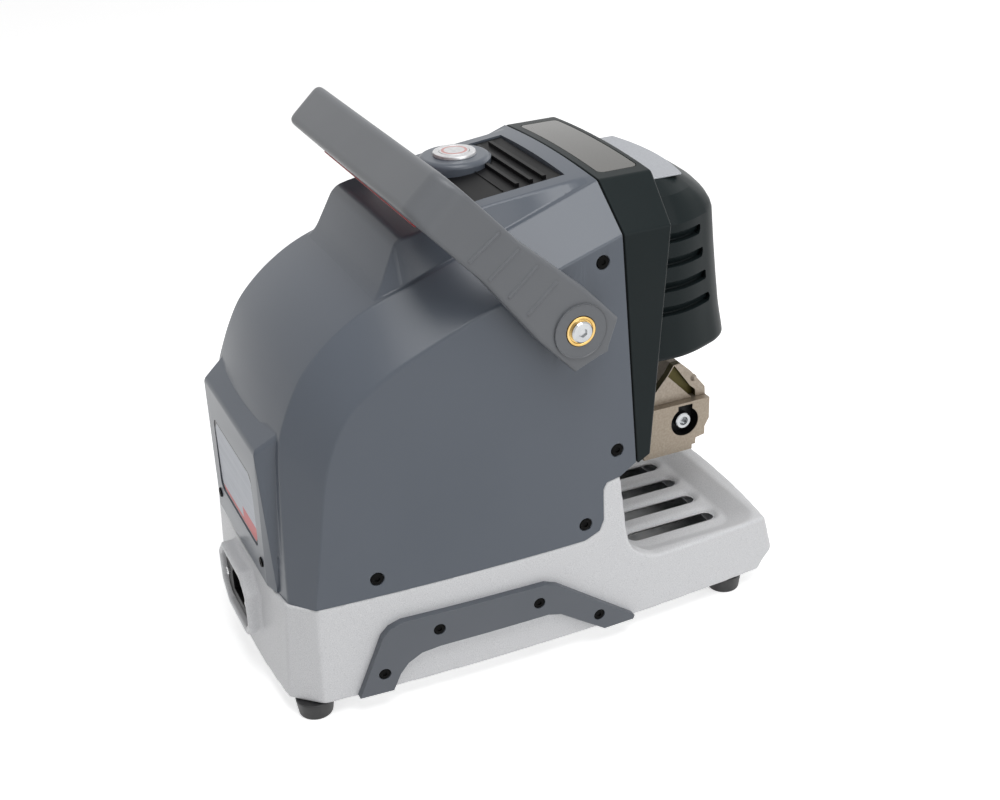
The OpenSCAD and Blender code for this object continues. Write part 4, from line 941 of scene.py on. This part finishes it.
cut(hood, *[louvre(side, z, end) for z, end in LOUVRES for side in SIDES])
shown(faced(hood, 20.5), frame_plastic, "head_hood")

silver_trim = mottled(
    "satin silver", (0.36, 0.375, 0.405), (0.47, 0.485, 0.515), (1800,), 0.36, 0.1, (700,), Metallic=0.35
)
silver_trim.bump(silver_trim.noise(1500), 0.00002, 0.4)
arc = [(x, -120 + 0.00324 * x * x) for x in np.linspace(-40, 40, 33)]
plate = slab("hood_plate_trim", arc + [(40, frame_y(262.5) - 0.2), (-40, frame_y(262.5) - 0.2)], 262.5, 261.35)
shown(eased(plate, 0.35, 2), silver_trim, "hood_plate")


# ---- roof grille
# A black moulded grille lies in the roof round the button's boss: three deep grooves and one fine step.
def groove_tree():
    """Grooves across the roof: a bar on each point, as wide and deep as its point says."""
    tree = Tree("roof grooves", Length=0.07, Depth=0.005)
    bar = tree.node("GeometryNodeMeshCube", Size=tree.point(tree.given["Length"], 1.0, tree.given["Depth"]))["Mesh"]
    return tree.repeated(bar, Scale=tree.facing())


black_plastic = satin("black plastic", (0.0025, 0.0025, 0.0028), (0.005, 0.005, 0.0055), 0.42, 0.00002, gloss=0.12)
sunk_vent = []
for x, y in vent:
    away = np.array((x - BUTTON[0], y - BUTTON[1]))
    reach = np.linalg.norm(away)
    if reach < BOSS_R + 0.5:  # round the boss
        sunk_vent.append(tuple(np.array(BUTTON) + away / reach * (BOSS_R + 0.35)))
    else:
        sunk_vent.append((x * 0.992, y + (0.35 if y < 0 else -0.35)))
grille_rows = [[(x, y, on(deck_line, y) + drop) for x, y in sunk_vent] for drop in (-3.4, -0.75, -0.45)]
grille_rows[-1] = [(x * 0.995, y * 0.995, z) for x, y, z in grille_rows[-1]]
grille = lofted("grille", grille_rows, closed=True)
# Place along the machine and width of each groove.
GROOVES = [(-32.0, 2.4), (-24.3, 2.3), (-16.0, 2.3), (-7.6, 0.7)]
spots = [place(-1.5, y, on(deck_line, y) - 0.45) for y, _ in GROOVES]
widths = [(1, width / 1000, 0.22 if width < 1 else 1) for _, width in GROOVES]
cut(grille, groove_tree().grown("roof_grooves", black_plastic, spots, widths, Length=0.070, Depth=0.0042))
shown(eased(grille, 0.3, 2), black_plastic, "roof_grille")


# ---- button
# A turned silver bezel with a separate cap that is pressed; a plain reddish ring is printed on the cap.
button_metal = Finish("button metal")
from_x, from_y = button_metal.at("X") - BUTTON[0], button_metal.at("Y") - (BUTTON[1] + MID_Y)
radius = from_x * from_x + from_y * from_y
ring = (radius > 5.9**2) * (radius < 7.4**2)
brushed = button_metal.between(button_metal.noise(500, 3), (0.60, 0.60, 0.61), (0.72, 0.72, 0.73))
button_metal.surface(
    Base_Color=button_metal.mix(ring * 0.75, brushed, (0.55, 0.16, 0.14)),
    Metallic=0.75 - ring * 0.6,
    Roughness=0.3 + button_metal.noise(300) * 0.1,
)
BEZEL_LOW, BEZEL_TOP = 249.2, 277.3
bezel = [
    (8.7, BEZEL_LOW), (11.0, BEZEL_LOW), (11.0, BOSS_TOP + 0.05), (12.0, BOSS_TOP + 0.05), (12.2, BOSS_TOP + 0.25),
    (12.2, BEZEL_TOP - 0.7), (11.9, BEZEL_TOP - 0.2), (11.3, BEZEL_TOP), (8.9, BEZEL_TOP), (8.7, BEZEL_TOP - 0.2),
    (8.7, BEZEL_LOW),
]
cap = [(0, 269.1), (8.2, 269.1), (8.5, 269.4), (8.5, 277.1), (8.3, 277.4), (7.9, 277.5), (0, 277.6)]
shown(turned("button_bezel", bezel, BUTTON), button_metal, "button_body")
shown(turned("button_cap_disc", cap, BUTTON), button_metal, "button_cap")


# ---- label
# A plain metal label in the recess on the back: silver grey, black edge line, red lower band, no lettering.
label_alloy = Finish("label alloy")
in_x, in_z = label_alloy.at("X"), label_alloy.at("Z")
edge_x, edge_z = 37.3 - in_x.size(), 22.6 - (in_z - LABEL_Z).size()
corner = 6.6 - (edge_x + edge_z)
line = ((edge_x < 1.0) + (edge_z < 1.0) * (in_z > LABEL_Z)).smaller(1) * (in_z > 95.4)
line = (line + (corner > 0.2)).smaller(1)
low_edge = (in_z < 96.8 + (in_x < -8) * 7.5) * (in_z > 94.2)
brushed = label_alloy.between(label_alloy.noise(60, 4, (0.1, 1, 6)), (0.30, 0.32, 0.36), (0.37, 0.39, 0.43))
printed = label_alloy.mix(low_edge, brushed, (0.50, 0.055, 0.06))
label_alloy.surface(
    Base_Color=label_alloy.mix(line, printed, (0.01, 0.01, 0.011)),
    Metallic=0.3 - (line + low_edge) * 0.15,
    Roughness=0.36 + label_alloy.noise(90) * 0.08,
)
label_rows = [[(x, y, z) for x, z in label_outline(-0.3)] for y in (RECESS_Y + 0.05, RECESS_Y + 0.8)]
label = lofted("label", label_rows, closed=True)
shown(eased(label, 0.15, 1), label_alloy, "label_plate")


# ---- mains inlet
# A black appliance inlet with three pins in a deep well, screwed into the octagonal opening of the casting.
INLET_Z, INLET_FLOOR, INLET_SCREW_X = 47.0, 150.5, 20


def inlet_row(half_w, half_h, cut_off, y, radius=1.2):
    """A rectangle with two bevelled upper corners, square to the machine's length."""
    spots = [(-half_w, -half_h), (half_w, -half_h), (half_w, half_h - cut_off), (half_w - cut_off, half_h),
             (-half_w + cut_off, half_h), (-half_w, half_h - cut_off)]
    ends = [spots[-1]] + spots + [spots[0]]
    return rounded([((x, y, INLET_Z + z), radius) for x, z in ends], 3)[1:-1]


flange_depths = ((0.1, 0), (1.9, 0), (2.5, 0.6))
flange_rows = [inlet_row(24.3 - inset, 15.4 - inset, 8, INLET_FLOOR + y) for y, inset in flange_depths]
flange = lofted("inlet_flange", flange_rows, closed=True)
joined(flange, lofted("inlet_body", [inlet_row(13.4, 9.9, 4, y) for y in (128.6, INLET_FLOOR + 1)], closed=True))
cut(flange, lofted("inlet_well", [inlet_row(11.9, 8.0, 4, y) for y in (135.5, INLET_FLOOR + 6)], closed=True))
cut(flange, *[round_bar("inlet_bore", "y", 140, 156, (s * INLET_SCREW_X, INLET_Z), 1.55, 24) for s in SIDES])
shown(eased(flange, 0.3, 1), black_plastic, "inlet_socket")
pin_metal = mottled("plated pins", (0.62, 0.55, 0.38), (0.72, 0.66, 0.50), (300, 3), 0.24, 0.1, (200,), Metallic=1.0)
shown(eased(copied("inlet_pins", "inlet_pins_rounded"), 0.4, 2), pin_metal, "inlet_pins")
sunk = [((s * INLET_SCREW_X, INLET_FLOOR + 2.6, INLET_Z), (0, 1, 0)) for s in SIDES]
screws("inlet_flange_screws", bright_steel, "inlet_screws", sunk, 2.6, 1.3, 1.2, 1.4, 5.6)


# ---- lifting handle
# One moulded bail: two tapering arms on discs at the pivots, joined by a full crossbar with a red inlay.
BAIL_TURN = math.radians(47.3)
ARM_IN, ARM_OUT, BAIL_REACH, BAR_IN = 88.7, 100.7, 117.0, 95.0
INNER_TURN, OUTER_TURN = 16.0, 15.0  # corner radii
# Half widths of the bail above and below its middle, against the reach from the pivot.
BAIL_UP = [(-22, 1.3), (-13.5, 18), (14, 18), (62, 13.5), (118, 13.5)]
BAIL_DOWN = [(-22, 1.3), (-15, -18), (14, -18), (62, -13.5), (118, -13.5)]


def on_bail(x, reach, height):
    """A point drawn with the bail lying level, in its resting place."""
    return (x, PIVOT[0] + reach * math.cos(BAIL_TURN) - height * math.sin(BAIL_TURN),
            PIVOT[1] + reach * math.sin(BAIL_TURN) + height * math.cos(BAIL_TURN))


def bail_ring(inner, outer, soft):
    """Rounded section between an inner and an outer point, each drawn as (x, reach)."""
    up, down = ([between(reach, table)[0] for _, reach in (inner, outer)] for table in (BAIL_UP, BAIL_DOWN))
    thick = min(up[0] - down[0], up[1] - down[1])
    corners = [((*inner, up[0]), 2.0), ((*outer, up[1]), soft), ((*outer, down[1]), soft), ((*inner, down[0]), 2.0)]
    corners = [(np.array(point), min(ease, 0.3 * thick)) for point, ease in corners]
    ring = rounded([corners[-1]] + corners + [corners[0]], 5)[1:-1]
    return [on_bail(*point) for point in ring]


ARM_STATIONS = (-21.9, -21.2, -20, -18, -16, -15, -14.2, -13.5, -12, -8, 0, 8, 14, 24, 38, 50, 62, 68, 74)
half_bail = [((ARM_IN, u), (ARM_OUT, u), 2.4) for u in ARM_STATIONS]
for k in np.linspace(0, 1, 15):
    a = k * math.pi / 2
    inner = (ARM_IN - INNER_TURN + INNER_TURN * math.cos(a), BAR_IN - INNER_TURN + INNER_TURN * math.sin(a))
    outer = (ARM_OUT - OUTER_TURN + OUTER_TURN * math.cos(a), BAIL_REACH - OUTER_TURN + OUTER_TURN * math.sin(a))
    half_bail.append((inner, outer, 2.4 + 2.4 * min(1, k * 1.6)))
half_bail += [((x, BAR_IN), (x * 1.14, BAIL_REACH), 4.8) for x in (60, 45, 30, 15)]
mirrored = [((-i[0], i[1]), (-o[0], o[1]), soft) for i, o, soft in half_bail[::-1]]
rings = [*half_bail, ((0, BAR_IN), (0, BAIL_REACH), 4.8), *mirrored]
bail = lofted("bail", [bail_ring(*ring) for ring in rings], closed=True)
joined(bail, *[round_bar("disc", "x", s * (ARM_OUT - 1), s * (ARM_OUT + 0.8), PIVOT, 15, 72, 0.45) for s in SIDES])


def rib_tree():
    """Fine ribs across the outside of an arm, half sunk, on points that say which side they are on."""
    tree = Tree("grip ribs", Radius=0.0013, Length=0.023, Sunk=0.0006, Turn=BAIL_TURN)
    size = tree.given
    bar = tree.node("GeometryNodeMeshCylinder", Vertices=16, Radius=size["Radius"], Depth=size["Length"])["Mesh"]
    bar = tree.moved(bar, Translation=tree.point(size["Sunk"] * -1.0))
    return tree.repeated(tree.moved(bar, Rotation=tree.point(x=size["Turn"])), Scale=tree.facing())


handle_plastic = satin("handle plastic", (0.128, 0.135, 0.146), (0.142, 0.149, 0.160), 0.36, 0.00001, gloss=0.35)
ribs = [(side, u) for u in (31, 46, 61, 76) for side in SIDES]
marks_at = [place(*on_bail(side * ARM_OUT, u, 0)) for side, u in ribs]
marks_out = [(side, 1, (25 - 0.09 * u) / 23) for side, u in ribs]
joined(bail, rib_tree().grown("grip_ribs", handle_plastic, marks_at, marks_out))
cut(bail, *[round_bar("bush_seat", "x", s * 80, s * 110, PIVOT, 6.25, 48) for s in SIDES])
cut(bail, *[round_bar("ring_seat", "x", s * (ARM_OUT - 0.6), s * 110, PIVOT, 8.6, 64) for s in SIDES])
INLAY_HALF = 68.0


def inlay_bar(name, half, low, high, width, *ease):
    """A flat bar on the inside of the crossbar, between two depths from its face."""
    spots = [(x, BAR_IN + u, w) for x in (-half, half) for u in (low, high) for w in (-width, width)]
    return hulled(name, [on_bail(*spot) for spot in spots], *ease)


cut(bail, inlay_bar("inlay_seat", INLAY_HALF + 0.15, -3, 2.3, 14.6))
shown(faced(bail, SHARP), handle_plastic, "handle_bail")

inlay_red = mottled("red inlay", (0.36, 0.012, 0.014), (0.46, 0.020, 0.022), (60, 3), 0.34, 0.12, (80,))
shown(inlay_bar("red_inlay", INLAY_HALF, -0.9, 2.1, 14.2, 0.5, 2), inlay_red, "grip_inlay")


def polished(name, dark, light, roughness, scale=140, metallic=1.0, stretch=(1, 1, 1)):
    """A worked metal: its colour and gloss vary along the tool marks."""
    made = Finish(name)
    marks = made.noise(scale, 4, stretch)
    made.surface(Base_Color=made.between(marks, dark, light), Metallic=metallic, Roughness=roughness + marks * 0.14)
    return made


# ---- handle pivots
# A turned brass bush shows as a ring round each chromed socket bolt.
brass = polished("turned brass", (0.62, 0.40, 0.13), (0.78, 0.54, 0.22), 0.16)
chrome = polished("chrome", (0.40, 0.41, 0.42), (0.54, 0.55, 0.56), 0.12)
RING_FACE = ARM_OUT + 1.35
ring_profile = [
    (BOLT_R, BOSS_FACE), (6.0, BOSS_FACE), (6.0, ARM_OUT - 0.5), (8.3, ARM_OUT - 0.5), (8.3, RING_FACE - 0.5),
    (8.1, RING_FACE - 0.12), (7.7, RING_FACE), (7.0, RING_FACE), (6.75, RING_FACE - 0.15), (6.6, RING_FACE - 0.6),
    (BOLT_R, RING_FACE - 0.6), (BOLT_R, BOSS_FACE),
]
bushes, other_bush = (turned("brass_bushes", [(r, s * x) for r, x in ring_profile], PIVOT, "x") for s in SIDES)
joined(bushes, other_bush)
shown(bushes, brass, "handle_bushes")
sunk = [((s * (RING_FACE - 0.55), *PIVOT), (s, 0, 0)) for s in SIDES]
screws("pivot_bolts", chrome, "handle_bolts", sunk, 5.9, 2.4, 2.7, 3.98, 29)


# ---- key clamp
# A champagne-coloured cast clamp: a body with a round recess for its screw, its inside and notch painted near black as
# shade, and two hooked jaws.
WELL = (-126.7, 98.2)
clamp_metal = Finish("champagne casting")
grain = clamp_metal.noise(700, 3)
from_y, from_z = clamp_metal.at("Y") - (WELL[0] + MID_Y), clamp_metal.at("Z") - WELL[1]
# Painted shade: the recess and the notch above it are painted near black and not metallic.
painted_well_shade = (from_y * from_y + from_z * from_z < 9.62**2) * (clamp_metal.at("X") < 0)
painted_well_shade = painted_well_shade.larger((from_y.size() < 5.4) * (from_z < 11.15) * (from_z > 4)) * (clamp_metal.at("X") > -29.5)
tan = clamp_metal.between(grain, (0.30, 0.25, 0.195), (0.38, 0.325, 0.26))
clamp_metal.surface(
    Base_Color=clamp_metal.mix(painted_well_shade, tan, (0.002, 0.002, 0.002)),
    Metallic=0.5 - painted_well_shade * 0.5,
    Roughness=0.34 + clamp_metal.noise(90) * 0.14,
    Specular_IOR_Level=0.35,
)
clamp_metal.bump(grain, 0.00002, 0.3)
CLAMP_HALF, CLAMP_BACK, CLAMP_TOP = 30.0, -100.0, 111.0
CLAMP_SIDE = [
    (CLAMP_BACK, CLAMP_TOP), (-144, CLAMP_TOP), (-144, 96.8), (-141, 91.6), (-141, 86.2), (-134.8, 85.0), (-134.5, 81),
    (CLAMP_BACK, 81),
]
JAW_SIDE = [
    (-106, CLAMP_TOP + 0.2), (-108, 119), (-117, 129.5), (-121, 135.6), (-126, 136), (-133.3, 129.1), (-143.4, 116.5),
    (-143.8, CLAMP_TOP + 0.2),
]
HOOK_GAP = [
    (-117.2, 129), (-134.2, CLAMP_TOP + 0.1), (-136.9, CLAMP_TOP + 0.1), (-136.5, 116), (-132.9, 119.3),
    (-121.6, 135.3),
]


def prism(name, side, first, last, ease=0.0):
    """A bar whose side view is given as (y, z) points."""
    made = lofted(name, [[(x, y, z) for y, z in side] for x in (first, last)], closed=True)
    return eased(made, ease, 2) if ease else made


clamp = prism("clamp", CLAMP_SIDE, -CLAMP_HALF, CLAMP_HALF)
joined(clamp, box("clamp_foot", (-27, -134, 76), (27, CLAMP_BACK, 82)))
fixed_jaw = prism("fixed_jaw", JAW_SIDE, 1.5, 25)
cut(fixed_jaw, prism("gap", HOOK_GAP, 20, 26))
joined(clamp, box("seat", (1.5, -136, CLAMP_TOP - 1), (25, -107, CLAMP_TOP + 1)), fixed_jaw)
cut(clamp, box("lug_slot", (-19.4, -131.4, 88), (-5.6, -121.6, CLAMP_TOP + 0.15)))
cut(clamp, round_bar("screw_bore", "x", -40, 22, WELL, 3.1, 32), round_bar("well", "x", -40, -22, WELL, 9.5, 72))
cut(clamp, box("well_notch", (-40, -132, 104), (-26.5, -122, 109.4)))
shown(eased(clamp, 0.7, 2), clamp_metal, "clamp_body")
jaw = prism("hooked_jaw", JAW_SIDE, -25, -1.5)
cut(jaw, prism("gap", HOOK_GAP, -26, -20.5))
joined(jaw, box("lug", (-14, -131, 90), (-6, -122, CLAMP_TOP + 3)))
cut(jaw, round_bar("screw_bore", "x", -40, 22, WELL, 3.1, 32))
jaw_metal = Finish("jaw metal")
# Painted shade: the band across the hook's gap is painted dark olive where the jaw's back face lies in shade.
hollow = (jaw_metal.at("X") > -24.6) * (jaw_metal.at("X") < -20.3)
grain = jaw_metal.noise(700, 3)
tan = jaw_metal.between(grain, (0.30, 0.255, 0.205), (0.39, 0.335, 0.275))
jaw_metal.surface(
    Base_Color=jaw_metal.mix(hollow, tan, (0.075, 0.062, 0.012)),
    Metallic=0.55,
    Roughness=0.36 + jaw_metal.noise(90) * 0.14,
)
joined(jaw, round_bar("ball", "x", -26.6, -22, (-135.3, 124.0), 2.2, 32, 1.6))
shown(eased(jaw, 0.5, 2), jaw_metal, "clamp_jaw")


# ---- clamp screw
# A chromed screw head stands in the recess, with a hexagon in its face.
clamp_screw = [
    (0, 20), (3.0, 20), (3.0, -22.6), (5.2, -22.6), (5.2, -28.2), (4.6, -28.7), (2.9, -28.7), (2.6, -26), (0, -26)
]
shown(turned("clamp_screw_turned", clamp_screw, (WELL[0], WELL[1] - 0.2), "x", 48), chrome, "clamp_screw")


# ---- machinery and electrics
# The moving parts behind the window: milled carriages on ground rods, motors, spindle, supply, board and fan.
alloy = polished("milled alloy", (0.46, 0.47, 0.48), (0.60, 0.61, 0.62), 0.28, 40, 0.95, (1, 8, 1))
ground_steel = polished("ground steel", (0.58, 0.58, 0.59), (0.70, 0.70, 0.71), 0.10, 60, 1.0, (1, 1, 12))
motor_black = satin("motor enamel", (0.012, 0.012, 0.013), (0.020, 0.020, 0.022), 0.34, 0.00003)
supply_zinc = polished("zinc case", (0.42, 0.43, 0.44), (0.56, 0.57, 0.58), 0.30, 90, 0.9)
belt_rubber = satin("belt rubber", (0.008, 0.008, 0.008), (0.014, 0.014, 0.014), 0.55, 0.00006)
board_green = Finish("circuit board")
copper = board_green.noise(420)
lacquer = [(0.35, (0.008, 0.070, 0.026)), (0.5, (0.014, 0.105, 0.040)), (0.66, (0.05, 0.16, 0.07))]
board_green.surface(Base_Color=board_green.ramp(copper, lacquer), Roughness=0.3 + copper * 0.2)
carbide = polished("carbide", (0.18, 0.18, 0.19), (0.30, 0.30, 0.31), 0.18, 300)
spring_wire = polished("spring wire", (0.40, 0.40, 0.41), (0.56, 0.56, 0.57), 0.22, 200)
clear_guard = Finish("clear guard")
haze = clear_guard.noise(50, 3)
tint = clear_guard.between(haze, (0.80, 0.83, 0.84), (0.88, 0.90, 0.91))
clear_guard.surface(Base_Color=tint, Roughness=0.04 + haze * 0.06, Alpha=0.26 + haze * 0.08)
INSIDE = {  # finish and eased edge of each node
    "column_frame": (motor_black, 0.8), "rear_bracket": (alloy, 0.5), "y_carriage": (alloy, 0.6),
    "x_table": (alloy, 0.6), "z_bracket": (alloy, 0.5), "z_carriage": (alloy, 0.8), "spindle_housing": (alloy, 0.6),
    "y_rods": (ground_steel, 0.4), "x_rods": (ground_steel, 0.4), "z_rods": (ground_steel, 0.4),
    "y_screw": (bright_steel, 0.4), "x_screw": (bright_steel, 0.4), "z_screw": (bright_steel, 0.4),
    "y_motor": (motor_black, 0.8), "x_motor": (motor_black, 0.8), "z_motor": (motor_black, 0.8),
    "spindle_motor": (motor_black, 0.8), "spindle_bearings": (bright_steel, 0.3),
    "spindle_shaft": (ground_steel, 0.3), "motor_shaft": (bright_steel, 0.3), "drive_belt": (belt_rubber, 0.0),
    "cutter": (carbide, 0.2), "probe": (ground_steel, 0.2), "chip_guard": (clear_guard, 0.3),
    "power_supply": (supply_zinc, 0.8), "control_board": (board_green, 0.2), "fan_frame": (black_plastic, 0.3),
    "fan_rotor": (black_plastic, 0.2), "button_spring": (spring_wire, 0.0),
}
for node, (finish, ease) in INSIDE.items():
    piece = copied(node, node + "_finished")
    shown(eased(piece, ease) if ease else piece, finish, node)
